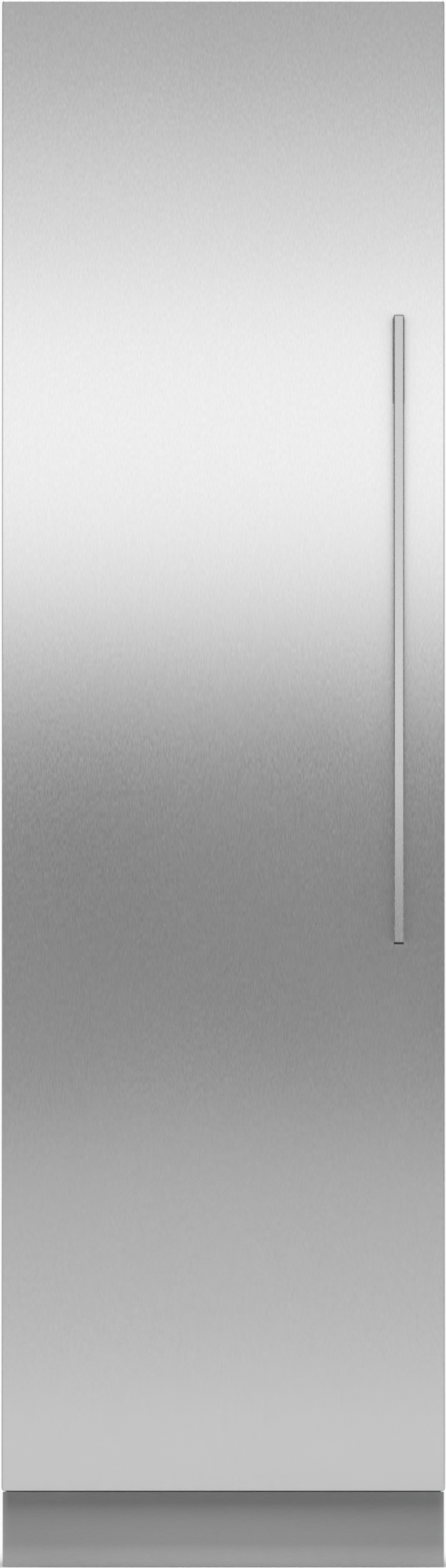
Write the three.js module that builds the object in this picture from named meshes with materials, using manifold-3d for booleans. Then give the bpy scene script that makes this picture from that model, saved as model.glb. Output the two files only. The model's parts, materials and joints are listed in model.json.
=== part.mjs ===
// Column refrigerator, built as a bench assembly. Millimetres, +Z up, door facing -Y.
// Places in depth are stations: 0 is the front face of the door panel, and they grow
// towards the wall. The whole group is moved at the end, so that the middle of the
// object's base lies on the origin.

import * as THREE from 'three';
import { mergeVertices } from 'three/addons/utils/BufferGeometryUtils.js';
import Module from 'manifold-3d';

const wasm = await Module();
wasm.setup();

// Driving dimensions

const overall = { width: 603, height: 2134, depth: 610 };
const toe = { height: 102, sideInset: 1, station: 92, sheet: 1.5, lift: 2, flange: 11.7 };
const fit = 0.3;
const overrun = 5;

const panel = { gapBelow: 2, thick: 20, sheet: 1.5, corner: 3.5, edge: 1.5 };
const hingeSpace = 42;
const cabinet = { sideInset: 2.5, front: 84, backSheet: 1.2, sheet: 1.5, frontSheet: 1.5 };
const insulated = { side: 45, floor: 49, ceiling: 60, back: 60.5, bay: 50 };
const machineBay = { deep: 198.5, high: 184 };
const cavity = { corner: 14, wall: 1.5 };
const door = { sideInset: 5.5, endInset: 8, caseBack: 72, caseSheet: 1.2, linerSheet: 2 };
const plug = { sideGap: 12, depth: 14, floorGap: 13, ceilingGap: 12 };
const dike = { rootGap: 13, rootWide: 24, tipWide: 11, deep: 100, coverGap: 45, topGap: 22 };
const gasket = { inset: 8, width: 22, face: 0.3 };

// Solids from three.js geometry

function solidOf(geometry) {
  const plain = geometry.index ? geometry.toNonIndexed() : geometry.clone();
  for (const name of Object.keys(plain.attributes)) {
    if (name !== 'position') plain.deleteAttribute(name);
  }
  const merged = mergeVertices(plain);
  return new wasm.Manifold(new wasm.Mesh({
    numProp: 3,
    vertProperties: new Float32Array(merged.attributes.position.array),
    triVerts: new Uint32Array(merged.index.array),
  }));
}

function block([x0, y0, z0], [x1, y1, z1]) {
  const geometry = new THREE.BoxGeometry(x1 - x0, y1 - y0, z1 - z0);
  geometry.translate((x0 + x1) / 2, (y0 + y1) / 2, (z0 + z1) / 2);
  return solidOf(geometry);
}

// A block from x0 to x1 and its mirror image on the other side of the middle
function blockPair([x0, y0, z0], [x1, y1, z1]) {
  return block([x0, y0, z0], [x1, y1, z1]).add(block([-x1, y0, z0], [-x0, y1, z1]));
}

function extruded(shape, length, options = {}) {
  return new THREE.ExtrudeGeometry(shape, {
    depth: length, bevelEnabled: false, curveSegments: 4, ...options,
  });
}

// An outline in plan (x, y), raised from z0 to z1
function planPrism(shape, z0, z1, options) {
  const geometry = extruded(shape, z1 - z0, options);
  geometry.translate(0, 0, z0);
  return solidOf(geometry);
}

// An outline seen from the side (y, z), run from x0 to x1
function sidePrism(shape, x0, x1) {
  const geometry = extruded(shape, x1 - x0);
  geometry.applyMatrix4(new THREE.Matrix4().makeBasis(
    new THREE.Vector3(0, 1, 0), new THREE.Vector3(0, 0, 1), new THREE.Vector3(1, 0, 0)));
  geometry.translate(x0, 0, 0);
  return solidOf(geometry);
}

// An outline seen from the front (x, z), run from y0 back to y1
function frontPrism(shape, y0, y1, options) {
  const geometry = extruded(shape, y1 - y0, options);
  geometry.applyMatrix4(new THREE.Matrix4().makeBasis(
    new THREE.Vector3(1, 0, 0), new THREE.Vector3(0, 0, 1), new THREE.Vector3(0, -1, 0)));
  geometry.translate(0, y1, 0);
  return solidOf(geometry);
}

const AXIS_TURN = {
  x: new THREE.Matrix4().makeRotationZ(-Math.PI / 2),
  y: new THREE.Matrix4(),
  z: new THREE.Matrix4().makeRotationX(Math.PI / 2),
};

// A round bar along an axis, from low to high, centred at the other two coordinates
function rod(axis, centre, low, high, radius, sides = 16) {
  const geometry = new THREE.CylinderGeometry(radius, radius, high - low, sides);
  geometry.applyMatrix4(AXIS_TURN[axis]);
  const place = { x: centre[0], y: centre[1], z: centre[2] };
  place[axis] = (low + high) / 2;
  geometry.translate(place.x, place.y, place.z);
  return solidOf(geometry);
}

function rectangle(x0, y0, x1, y1) {
  return new THREE.Shape([
    new THREE.Vector2(x0, y0), new THREE.Vector2(x1, y0),
    new THREE.Vector2(x1, y1), new THREE.Vector2(x0, y1),
  ]);
}

function roundedRectangle(x0, y0, x1, y1, radius) {
  const shape = new THREE.Shape();
  shape.moveTo(x0 + radius, y0);
  shape.lineTo(x1 - radius, y0);
  shape.absarc(x1 - radius, y0 + radius, radius, -Math.PI / 2, 0, false);
  shape.lineTo(x1, y1 - radius);
  shape.absarc(x1 - radius, y1 - radius, radius, 0, Math.PI / 2, false);
  shape.lineTo(x0 + radius, y1);
  shape.absarc(x0 + radius, y1 - radius, radius, Math.PI / 2, Math.PI, false);
  shape.lineTo(x0, y0 + radius);
  shape.absarc(x0 + radius, y0 + radius, radius, Math.PI, 1.5 * Math.PI, false);
  return shape;
}

// The outline of a flat link: a circle at each end joined by straight sides
function linkOutline(p, radiusP, q, radiusQ) {
  const reach = Math.hypot(q.x - p.x, q.y - p.y);
  const heading = Math.atan2(q.y - p.y, q.x - p.x);
  const lean = Math.acos((radiusP - radiusQ) / reach);
  const shape = new THREE.Shape();
  shape.absarc(p.x, p.y, radiusP, heading + lean, heading - lean + 2 * Math.PI, false);
  shape.absarc(q.x, q.y, radiusQ, heading - lean, heading + lean, false);
  return shape;
}

function finish(color, roughness, metalness) {
  return new THREE.MeshStandardMaterial({ color, roughness, metalness });
}

const looks = {
  stainless: () => finish(0xc9cacb, 0.32, 1),
  satinSteel: () => finish(0xb4b6b8, 0.4, 1),
  zinc: () => finish(0x9da1a4, 0.45, 1),
  greyPaint: () => finish(0x8e9194, 0.55, 0.2),
  darkPaint: () => finish(0x2a2c2e, 0.5, 0.2),
  whitePlastic: () => finish(0xf1f3f4, 0.4, 0),
  greyPlastic: () => finish(0xc9cdd0, 0.45, 0),
  blackPlastic: () => finish(0x1d1f21, 0.5, 0),
  clearPlastic: () => finish(0xdfe9ee, 0.15, 0),
  foam: () => finish(0xe6d9a8, 0.95, 0),
  rubber: () => finish(0x6f7375, 0.8, 0),
  glass: () => finish(0xd8ece8, 0.08, 0),
  aluminium: () => finish(0xbcc0c3, 0.35, 1),
};

const refrigerator = new THREE.Group();
refrigerator.name = 'refrigerator';

function piece(name, material, solid, group = refrigerator) {
  const mesh = solid.getMesh();
  const geometry = new THREE.BufferGeometry();
  geometry.setAttribute('position', new THREE.BufferAttribute(
    new Float32Array(mesh.vertProperties), 3));
  geometry.setIndex(new THREE.BufferAttribute(new Uint32Array(mesh.triVerts), 1));
  geometry.computeVertexNormals();
  const made = new THREE.Mesh(geometry, material);
  made.name = name;
  group.add(made);
  return made;
}

// Sizes worked out from the driving dimensions

const halfWidth = overall.width / 2;
const panelBottom = toe.height + panel.gapBelow;
const panelTop = overall.height;
const cab = {
  half: halfWidth - cabinet.sideInset,
  bottom: panelBottom + hingeSpace,
  top: panelTop - hingeSpace,
  back: overall.depth - cabinet.backSheet - fit,
};
const bay = {
  front: cab.back - machineBay.deep,
  top: cab.bottom + machineBay.high,
  back: cab.back,
};
const room = {
  half: cab.half - insulated.side,
  floor: cab.bottom + insulated.floor,
  ceiling: cab.top - insulated.ceiling,
  front: cabinet.front + cabinet.frontSheet + fit,
  back: cab.back - insulated.back,
  stepFront: bay.front - insulated.bay,
  stepTop: bay.top + insulated.bay,
};
const leaf = {
  half: halfWidth - door.sideInset,
  bottom: cab.bottom + door.endInset,
  top: cab.top - door.endInset,
  front: panel.thick + fit,
};
const linerBack = door.caseBack + door.linerSheet;
const plugBack = door.caseBack + plug.depth;
const plugBottom = room.floor + plug.floorGap;
const plugTop = room.ceiling - plug.ceilingGap;
const plugHalf = room.half - plug.sideGap;
const dikeTop = room.ceiling - dike.topGap;
const dikeRoot = room.half - dike.rootGap;
const dikeInner = dikeRoot - dike.rootWide;
const dikeTip = dikeInner + dike.tipWide;
const dikeBack = door.caseBack + dike.deep;

// Cabinet shell, insulation and liner

// Side outline of the cabinet body, with the step over the machine bay, drawn in by a depth
function bodyOutline(drawnIn) {
  const shape = new THREE.Shape();
  const front = drawnIn > 0 ? room.front : cabinet.front;
  shape.moveTo(front, cab.bottom + drawnIn);
  shape.lineTo(bay.front - drawnIn, cab.bottom + drawnIn);
  shape.lineTo(bay.front - drawnIn, bay.top + drawnIn);
  shape.lineTo(cab.back, bay.top + drawnIn);
  shape.lineTo(cab.back, cab.top - drawnIn);
  shape.lineTo(front, cab.top - drawnIn);
  return shape;
}

// Side outline of the cold room, grown by a depth
function roomOutline(grown, frontEnd) {
  const shape = new THREE.Shape();
  const back = room.back + grown;
  const round = cavity.corner + grown;
  const ceiling = room.ceiling + grown;
  const stepTop = room.stepTop - grown;
  shape.moveTo(frontEnd, room.floor - grown);
  shape.lineTo(room.stepFront + grown, room.floor - grown);
  shape.lineTo(room.stepFront + grown, stepTop);
  shape.lineTo(back - round, stepTop);
  shape.absarc(back - round, stepTop + round, round, -Math.PI / 2, 0, false);
  shape.lineTo(back, ceiling - round);
  shape.absarc(back - round, ceiling - round, round, 0, Math.PI / 2, false);
  shape.lineTo(frontEnd, ceiling);
  return shape;
}

function cabinetShell() {
  const inside = cab.half - cabinet.sheet;
  const hull = sidePrism(bodyOutline(0), -cab.half, cab.half);
  const hollow = sidePrism(bodyOutline(cabinet.sheet), -inside, inside)
    .add(block([-inside, cabinet.front - overrun, cab.bottom + cabinet.sheet],
      [inside, room.front, cab.top - cabinet.sheet]))
    .add(block([-inside, cab.back - overrun, bay.top + cabinet.sheet],
      [inside, cab.back + overrun, cab.top - cabinet.sheet]));
  const baySides = blockPair([inside, bay.front, cab.bottom], [cab.half, cab.back, bay.top]);
  piece('cabinet_shell', looks.greyPaint(), hull.subtract(hollow).add(baySides));
}

function frontFrame() {
  const half = cab.half - cabinet.sheet - fit;
  const low = cab.bottom + cabinet.sheet + fit;
  const high = cab.top - cabinet.sheet - fit;
  const ring = block([-half, cabinet.front, low], [half, room.front - fit, high])
    .subtract(block([-room.half, cabinet.front - overrun, room.floor],
      [room.half, room.front + overrun, room.ceiling]));
  piece('front_frame', looks.satinSteel(), ring);
}

function insulation() {
  const half = cab.half - cabinet.sheet - fit;
  const grown = cavity.wall + fit;
  const foam = sidePrism(bodyOutline(cabinet.sheet + fit), -half, half)
    .subtract(sidePrism(roomOutline(grown, room.front - overrun),
      -room.half - grown, room.half + grown));
  piece('insulation', looks.foam(), foam);
}

const shelf = {
  heightShares: [0.225, 0.464, 0.724], high: 12, rim: 12, lip: 6, glass: 4, doorGap: 10,
  coverGap: 5, sideGap: 4,
};
shelf.front = dikeBack + shelf.doorGap;
const ledge = { deep: 8, high: 9, endInset: 8 };
const cover = {
  sideGap: 54, deep: 48, bottomGap: 12, topGap: 12, wall: 2, slotWide: 150, slotHigh: 6,
  slotPitch: 13, lowSlots: 5, shelfSlots: 2, fanSlots: 9, fanSlotRise: 4,
};
const coverFront = room.back - cover.deep;
const shelfBack = coverFront - shelf.coverGap;

function innerLiner() {
  const half = room.half + cavity.wall;
  let liner = sidePrism(roomOutline(cavity.wall, room.front), -half, half)
    .subtract(sidePrism(roomOutline(0, room.front - overrun),
      -room.half, room.half));
  for (const bottom of shelfBottoms) {
    liner = liner.add(blockPair(
      [room.half - ledge.deep, shelf.front + ledge.endInset, bottom - fit - ledge.high],
      [half, shelfBack - ledge.endInset, bottom - fit]));
  }
  piece('inner_liner', looks.whitePlastic(), liner);
}

function backPanel() {
  const half = cab.half - fit;
  piece('back_panel', looks.zinc(), block(
    [-half, overall.depth - cabinet.backSheet, bay.top + fit],
    [half, overall.depth, cab.top]));
}

// Base: chassis with the machine tray, toe kick, feet and rollers

const base = {
  bottom: 30, flange: 4, web: 3, flangeWidth: 27, backInset: 4.5, tray: 2, trayLap: 10,
  topFlange: 3.7, topFlangeFront: 170, crossTop: 112, crossThick: 4,
};
base.front = toe.station + toe.flange + fit;
base.back = cab.back - base.backInset;
const foot = {
  sideInset: 42, inset: 28, padRadius: 18, padHigh: 8, nutRadius: 9, nutLow: 12, nutHigh: 19,
  rodRadius: 5, rodTop: 66, housing: 17.5, housingTop: 70, clearance: 0.3,
};
foot.x = cab.half - foot.sideInset;
foot.y = base.front + foot.inset;
const roller = {
  radius: 20, wide: 18, sideInset: 15, backInset: 38.5, axleRadius: 4, earThick: 4,
  earHalf: 11, earTop: 44, wellGap: 4, tyreEdge: 2, clearance: 0.3,
};
roller.x1 = cab.half - roller.sideInset;
roller.x0 = roller.x1 - roller.wide;
roller.y = cab.back - roller.backInset;
roller.earInner = roller.x0 - roller.wellGap - roller.earThick;

function baseFrame() {
  const half = cab.half - cabinet.sheet - fit;
  const top = cab.bottom - fit;
  const webInner = half - base.web;
  const earBottom = roller.radius - roller.earHalf;
  let frame = blockPair([half - base.flangeWidth, base.front, base.bottom],
    [half, base.back, base.bottom + base.flange])
    .add(blockPair([webInner, base.front, base.bottom], [half, base.back, top]))
    .add(blockPair([half - base.flangeWidth, base.topFlangeFront, top - base.topFlange],
      [half, bay.front, top]))
    .add(block([-half, bay.front - base.trayLap, base.bottom],
      [half, base.back, base.bottom + base.tray]))
    .add(block([-half, base.front, base.bottom],
      [half, base.front + base.crossThick, base.crossTop]));
  for (const side of [-1, 1]) {
    const x = side * foot.x;
    frame = frame.add(block([x - foot.housing, base.front, base.bottom],
      [x + foot.housing, foot.y + foot.housing, foot.housingTop]));
  }
  frame = frame.add(blockPair(
    [roller.earInner, roller.y - roller.earHalf, earBottom],
    [roller.earInner + roller.earThick, roller.y + roller.earHalf, roller.earTop]));
  const well = roller.radius + roller.wellGap;
  const wellSide = roller.wellGap / 2;
  frame = frame.subtract(blockPair(
    [roller.earInner + roller.earThick, roller.y - well, base.bottom - overrun],
    [roller.x1 + wellSide, roller.y + well, base.bottom + base.flange + overrun]));
  for (const side of [-1, 1]) {
    const ends = [side * roller.earInner, side * (webInner + base.web / 2)]
      .sort((a, b) => a - b);
    frame = frame
      .subtract(rod('z', [side * foot.x, foot.y, 0], base.bottom - overrun,
        foot.housingTop + overrun, foot.rodRadius + foot.clearance, 20))
      .add(block([side * webInner - base.web, roller.y - roller.earHalf, earBottom],
        [side * webInner + base.web, roller.y + roller.earHalf, roller.earTop]))
      .add(rod('x', [0, roller.y, roller.radius], ends[0], ends[1], roller.axleRadius, 16));
  }
  piece('base_frame', looks.darkPaint(), frame);

  for (const [name, side] of [['left', -1], ['right', 1]]) {
    const centre = [side * foot.x, foot.y, 0];
    const leg = rod('z', centre, 0, foot.padHigh, foot.padRadius, 24)
      .add(rod('z', centre, foot.padHigh / 2, foot.rodTop, foot.rodRadius, 16))
      .add(rod('z', centre, foot.nutLow, foot.nutHigh, foot.nutRadius, 6));
    piece(`${name}_levelling_foot`, looks.zinc(), leg);

    const rollerEnds = [side * roller.x0, side * roller.x1].sort((a, b) => a - b);
    const hub = [0, roller.y, roller.radius];
    const wheel = rod('x', hub, rollerEnds[0] + roller.tyreEdge,
      rollerEnds[1] - roller.tyreEdge, roller.radius, 32)
      .add(rod('x', hub, rollerEnds[0], rollerEnds[1], roller.radius - roller.tyreEdge, 32))
      .subtract(rod('x', hub, rollerEnds[0] - overrun, rollerEnds[1] + overrun,
        roller.axleRadius + roller.clearance, 16));
    piece(`${name}_rear_roller`, looks.greyPlastic(), wheel);
  }
}

function toeKick() {
  const half = halfWidth - toe.sideInset;
  const back = toe.station + toe.sheet;
  const face = block([-half, toe.station, toe.lift], [half, back, toe.height]);
  const flange = block([-half, toe.station, toe.height - toe.sheet],
    [half, back + toe.flange - toe.sheet, toe.height]);
  piece('toe_kick', looks.stainless(), face.add(flange));
}

// Machine bay

const compressor = {
  sideInset: 169, backInset: 103.5, radius: 72, high: 165, neckShare: 0.55, footRadius: 10, footHigh: 8,
  plateHalfX: 92, plateHalfY: 62, plate: 4, footInset: 12, lift: 2, capHalf: 26, capDeep: 16,
  capHigh: 50,
};
compressor.x = cab.half - compressor.sideInset;
compressor.y = bay.back - compressor.backInset;

function compressorUnit() {
  const floor = base.bottom + base.tray + fit;
  const plateLow = floor + compressor.footHigh;
  const plateHigh = plateLow + compressor.plate;
  const { radius, high } = compressor;
  const profile = new THREE.Path();
  const shoulder = radius * compressor.neckShare;
  profile.moveTo(0, 0);
  profile.lineTo(shoulder, 0);
  profile.quadraticCurveTo(radius, 0, radius, shoulder);
  profile.lineTo(radius, high - shoulder);
  profile.quadraticCurveTo(radius, high, 0, high);
  const points = profile.getPoints(5);
  points[0].x = 0;
  points[points.length - 1].x = 0;
  const dome = new THREE.LatheGeometry(points, 20);
  dome.applyMatrix4(AXIS_TURN.z);
  dome.translate(compressor.x, compressor.y, plateHigh - compressor.lift);
  let unit = solidOf(dome).add(block(
    [compressor.x - compressor.plateHalfX, compressor.y - compressor.plateHalfY, plateLow],
    [compressor.x + compressor.plateHalfX, compressor.y + compressor.plateHalfY, plateHigh]));
  for (const sx of [-1, 1]) {
    for (const sy of [-1, 1]) {
      const centre = [
        compressor.x + sx * (compressor.plateHalfX - compressor.footInset),
        compressor.y + sy * (compressor.plateHalfY - compressor.footInset), 0];
      unit = unit.add(rod('z', centre, floor, plateHigh, compressor.footRadius, 10));
    }
  }
  const capLow = plateHigh + radius - compressor.capHigh / 2;
  unit = unit.add(block(
    [compressor.x - compressor.capHalf, compressor.y - radius - compressor.capDeep / 2, capLow],
    [compressor.x + compressor.capHalf, compressor.y - radius / 2, capLow + compressor.capHigh]));
  piece('compressor', looks.darkPaint(), unit);
}

const condenser = {
  shroudGap: 50, deep: 42, frontInset: 18, backInset: 16.5, high: 200, fins: 15,
  finShare: 0.4, spine: 8, foot: 12,
};
const shroud = {
  thick: 4, fromMiddle: 34, frontInset: 14, backInset: 8.5, top: 222, hole: 76,
  canRadius: 19, canLong: 28, strutHalf: 4, struts: 3, collar: 2,
};
shroud.x1 = -shroud.fromMiddle;
shroud.x0 = shroud.x1 - shroud.thick;
shroud.y0 = bay.front + shroud.frontInset;
shroud.y1 = bay.back - shroud.backInset;
condenser.x1 = shroud.x0 - condenser.shroudGap;
condenser.x0 = condenser.x1 - condenser.deep;
condenser.y0 = bay.front + condenser.frontInset;
condenser.y1 = bay.back - condenser.backInset;

// A block of thin fins on a spine, cut from both faces along x
function condenserCoil() {
  const floor = base.bottom + base.tray + fit;
  const low = floor + condenser.foot;
  const top = low + condenser.high;
  const spine0 = (condenser.x0 + condenser.x1 - condenser.spine) / 2;
  const pitch = (condenser.y1 - condenser.y0) / condenser.fins;
  const slot = pitch * (1 - condenser.finShare);
  let coil = block([condenser.x0, condenser.y0, low], [condenser.x1, condenser.y1, top])
    .add(block([spine0, condenser.y0, floor], [spine0 + condenser.spine, condenser.y1, top]));
  for (let i = 0; i < condenser.fins; i += 1) {
    const y = condenser.y0 + i * pitch + (pitch - slot) / 2;
    coil = coil
      .subtract(block([condenser.x0 - overrun, y, low + condenser.foot],
        [spine0, y + slot, top - condenser.foot]))
      .subtract(block([spine0 + condenser.spine, y, low + condenser.foot],
        [condenser.x1 + overrun, y + slot, top - condenser.foot]));
  }
  piece('condenser', looks.darkPaint(), coil);
}

// A fan's hub and pitched blades, turning about the y axis through the middle, ready to place
function fanWheel({ hubRadius, hubLong, tipRadius, blades, bladeThick, bladeWide, bladePitch,
  boreRadius }) {
  let wheel = rod('y', [0, 0, 0], 0, hubLong, hubRadius, 20);
  for (let i = 0; i < blades; i += 1) {
    const blade = new THREE.BoxGeometry(bladeWide, bladeThick, tipRadius - hubRadius / 2);
    blade.rotateZ(bladePitch);
    blade.translate(0, hubLong / 2, (tipRadius + hubRadius / 2) / 2);
    blade.rotateY((i / blades) * 2 * Math.PI);
    wheel = wheel.add(solidOf(blade));
  }
  return wheel.subtract(rod('y', [0, 0, 0], -overrun, hubLong + overrun, boreRadius, 14));
}

const condenserFan = {
  hubRadius: 21, hubLong: 15, tipRadius: 70, blades: 5, bladeThick: 2, bladeWide: 32,
  bladePitch: 0.5, axleRadius: 3, clearance: 0.3, backInset: 100.5, centreHigh: 128,
  shroudGap: 8,
};
condenserFan.axis = { y: bay.back - condenserFan.backInset, z: condenserFan.centreHigh };
condenserFan.backX = shroud.x0 - condenserFan.shroudGap;

function condenserFanSet() {
  const { y, z } = condenserFan.axis;
  const floor = base.bottom + base.tray + fit;
  let plate = block([shroud.x0, shroud.y0, floor], [shroud.x1, shroud.y1, shroud.top])
    .subtract(rod('x', [0, y, z], shroud.x0 - overrun, shroud.x1 + overrun, shroud.hole, 32));
  for (let i = 0; i < shroud.struts; i += 1) {
    const strut = new THREE.BoxGeometry(shroud.x1 - shroud.x0, 2 * shroud.strutHalf,
      shroud.hole + shroud.strutHalf);
    strut.translate(0, 0, (shroud.hole + shroud.strutHalf) / 2);
    strut.rotateX((i / shroud.struts) * 2 * Math.PI);
    strut.translate((shroud.x0 + shroud.x1) / 2, y, z);
    plate = plate.add(solidOf(strut));
  }
  plate = plate
    .add(rod('x', [0, y, z], shroud.x0, shroud.x1 + shroud.canLong, shroud.canRadius, 20))
    .add(rod('x', [0, y, z], condenserFan.backX - condenserFan.hubLong - shroud.collar,
      shroud.x1, condenserFan.axleRadius, 12));
  piece('fan_shroud', looks.blackPlastic(), plate);

  const group = new THREE.Group();
  group.position.set(condenserFan.backX, y, z);
  group.rotation.z = Math.PI / 2;
  refrigerator.add(group);
  piece('condenser_fan', looks.blackPlastic(), fanWheel({
    ...condenserFan, boreRadius: condenserFan.axleRadius + condenserFan.clearance }), group);
}

const drip = { sideInset: 35, condenserGap: 20, frontInset: 14, deep: 116, high: 26, wall: 2 };
drip.x0 = -cab.half + drip.sideInset;
drip.x1 = condenser.x0 - drip.condenserGap;
drip.y0 = bay.front + drip.frontInset;
drip.y1 = drip.y0 + drip.deep;

function dripTray() {
  const floor = base.bottom + base.tray + fit;
  const tray = block([drip.x0, drip.y0, floor], [drip.x1, drip.y1, floor + drip.high])
    .subtract(block([drip.x0 + drip.wall, drip.y0 + drip.wall, floor + drip.wall],
      [drip.x1 - drip.wall, drip.y1 - drip.wall, floor + drip.high + overrun]));
  piece('drip_tray', looks.blackPlastic(), tray);
}

const board = { sideInset: 9, wide: 94, deep: 66, backInset: 4, high: 90 };
board.x1 = cab.half - board.sideInset;
board.x0 = board.x1 - board.wide;
board.y1 = overall.depth - board.backInset;
board.y0 = board.y1 - board.deep;
board.z0 = bay.top - board.high;
const inlet = {
  wide: 48, high: 28, proud: 3, recessWide: 38, recessHigh: 19, recessDeep: 17,
  pinWide: 2, pinHigh: 5, pinLong: 14, pinPitch: 9, edge: 2,
};

function boardBox() {
  const top = bay.top - fit;
  const x = (board.x0 + board.x1) / 2;
  const z = (board.z0 + top) / 2;
  const back = board.y1 + inlet.proud;
  const bottom = back - inlet.recessDeep;
  let box = block([board.x0, board.y0, board.z0], [board.x1, board.y1, top])
    .add(block([x - inlet.wide / 2, board.y0, z - inlet.high / 2],
      [x + inlet.wide / 2, back, z + inlet.high / 2]))
    .subtract(block([x - inlet.recessWide / 2, bottom, z - inlet.recessHigh / 2],
      [x + inlet.recessWide / 2, back + overrun, z + inlet.recessHigh / 2]));
  for (const i of [-1, 0, 1]) {
    const pinX = x + i * inlet.pinPitch;
    box = box.add(block([pinX - inlet.pinWide / 2, bottom - inlet.edge, z - inlet.pinHigh / 2],
      [pinX + inlet.pinWide / 2, bottom + inlet.pinLong, z + inlet.pinHigh / 2]));
  }
  piece('board_box', looks.greyPlastic(), box);
}

const grille = { rows: 11, slotHigh: 9, sideMargin: 68.7, margin: 30, bottom: 34 };

function ventGrille() {
  const half = cab.half - fit;
  const top = bay.top - fit;
  const front = overall.depth - cabinet.backSheet;
  const boardX = (board.x0 + board.x1) / 2;
  const boardZ = (board.z0 + top) / 2;
  let plate = block([-half, front, grille.bottom], [half, overall.depth, top]);
  const pitch = (board.z0 - grille.bottom - grille.margin) / grille.rows;
  for (let row = 0; row < grille.rows; row += 1) {
    const low = grille.bottom + grille.margin + row * pitch;
    plate = plate.subtract(blockPair(
      [grille.margin, front - overrun, low],
      [half - grille.sideMargin, overall.depth + overrun, low + grille.slotHigh]));
  }
  plate = plate.subtract(block(
    [boardX - inlet.wide / 2 - inlet.edge, front - overrun, boardZ - inlet.high / 2 - inlet.edge],
    [boardX + inlet.wide / 2 + inlet.edge, overall.depth + overrun,
      boardZ + inlet.high / 2 + inlet.edge]));
  piece('vent_grille', looks.darkPaint(), plate);
}

// Cold air: cover, coil and fan at the back of the room

const coldFan = {
  hubRadius: 17, hubLong: 13, tipRadius: 58, blades: 6, bladeThick: 2, bladeWide: 22,
  bladePitch: 0.5, axleRadius: 2.5, clearance: 0.3, fromTop: 150, coverGap: 14,
  bossRadius: 13, collar: 2,
};
coldFan.back = coverFront + coldFan.coverGap;
const coil = {
  sideGap: 32, coverGap: 8, deep: 33, bottomGap: 55, high: 210, fins: 18, finShare: 0.4,
  spine: 7, plate: 6, postHalf: 6,
};
const coverHalf = room.half - cover.sideGap;
coil.half = coverHalf - coil.sideGap;
coil.front = coverFront + coil.coverGap;
coil.back = coil.front + coil.deep;

function airCover() {
  const low = room.stepTop + cover.bottomGap;
  const high = room.ceiling - cover.topGap;
  const back = room.back - fit;
  const fanZ = high - coldFan.fromTop;
  let shell = block([-coverHalf, coverFront, low], [coverHalf, back, high])
    .subtract(block(
      [-coverHalf + cover.wall, coverFront + cover.wall, low + cover.wall],
      [coverHalf - cover.wall, back + overrun, high - cover.wall]));
  const slotRows = [
    [low + coil.bottomGap, cover.lowSlots],
    ...shelfBottoms.map((bottom) => [bottom - coil.bottomGap, cover.shelfSlots]),
    [fanZ - cover.fanSlotRise * cover.slotPitch, cover.fanSlots]];
  for (const [start, count] of slotRows) {
    for (let i = 0; i < count; i += 1) {
      const z = start + i * cover.slotPitch;
      shell = shell.subtract(block(
        [-cover.slotWide / 2, coverFront - overrun, z - cover.slotHigh / 2],
        [cover.slotWide / 2, coverFront + overrun, z + cover.slotHigh / 2]));
    }
  }
  const axis = [0, 0, fanZ];
  shell = shell
    .add(rod('y', axis, coverFront + cover.wall / 2, coldFan.back - fit,
      coldFan.bossRadius, 16))
    .add(rod('y', axis, coverFront + cover.wall / 2,
      coldFan.back + coldFan.hubLong + coldFan.collar, coldFan.axleRadius, 12));
  piece('evaporator_cover', looks.whitePlastic(), shell);

  const group = new THREE.Group();
  group.position.set(0, coldFan.back, fanZ);
  refrigerator.add(group);
  piece('evaporator_fan', looks.greyPlastic(), fanWheel({
    ...coldFan, boreRadius: coldFan.axleRadius + coldFan.clearance }), group);
}

function evaporatorCoil() {
  const low = room.stepTop + cover.bottomGap + coil.bottomGap;
  const high = low + coil.high;
  const spine0 = (coil.front + coil.back - coil.spine) / 2;
  const pitch = (2 * coil.half) / coil.fins;
  const slot = pitch * (1 - coil.finShare);
  let fins = block([-coil.half, coil.front, low], [coil.half, coil.back, high]);
  for (let i = 0; i < coil.fins; i += 1) {
    const x = -coil.half + i * pitch + (pitch - slot) / 2;
    fins = fins
      .subtract(block([x, coil.front - overrun, low + coil.plate],
        [x + slot, spine0, high - coil.plate]))
      .subtract(block([x, spine0 + coil.spine, low + coil.plate],
        [x + slot, coil.back + overrun, high - coil.plate]));
  }
  for (const side of [-1, 1]) {
    const x = side * (coil.half - coil.postHalf);
    fins = fins.add(block([x - coil.postHalf, spine0, high - coil.plate],
      [x + coil.postHalf, room.back - fit, high]));
  }
  piece('evaporator_coil', looks.aluminium(), fins);
}

// Fittings of the room: light, controls, shelves

const light = { sideGap: 104, frontGap: 116, deep: 100, thick: 6, corner: 12 };
const controls = { sideGap: 144, frontGap: 28, deep: 44, thick: 8, corner: 6 };

function ceilingFitting(name, look, size) {
  const top = room.ceiling - fit;
  const half = room.half - size.sideGap;
  const front = cabinet.front + size.frontGap;
  piece(name, look, planPrism(
    roundedRectangle(-half, front, half, front + size.deep, size.corner),
    top - size.thick, top));
}

function shelfSet(name, bottom, front) {
  const half = room.half - shelf.sideGap;
  const top = bottom + shelf.high;
  const seat = top - shelf.glass - fit;
  const frame = block([-half, front, bottom], [half, shelfBack, top])
    .subtract(block([-half + shelf.rim, front + shelf.rim, bottom - overrun],
      [half - shelf.rim, shelfBack - shelf.rim, top + overrun]))
    .subtract(block([-half + shelf.lip, front + shelf.lip, seat],
      [half - shelf.lip, shelfBack - shelf.lip, top + overrun]));
  piece(`${name}_frame`, looks.satinSteel(), frame);
  piece(`${name}_glass`, looks.glass(), block(
    [-half + shelf.lip + fit, front + shelf.lip + fit, seat + fit],
    [half - shelf.lip - fit, shelfBack - shelf.lip - fit, top]));
}

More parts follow.
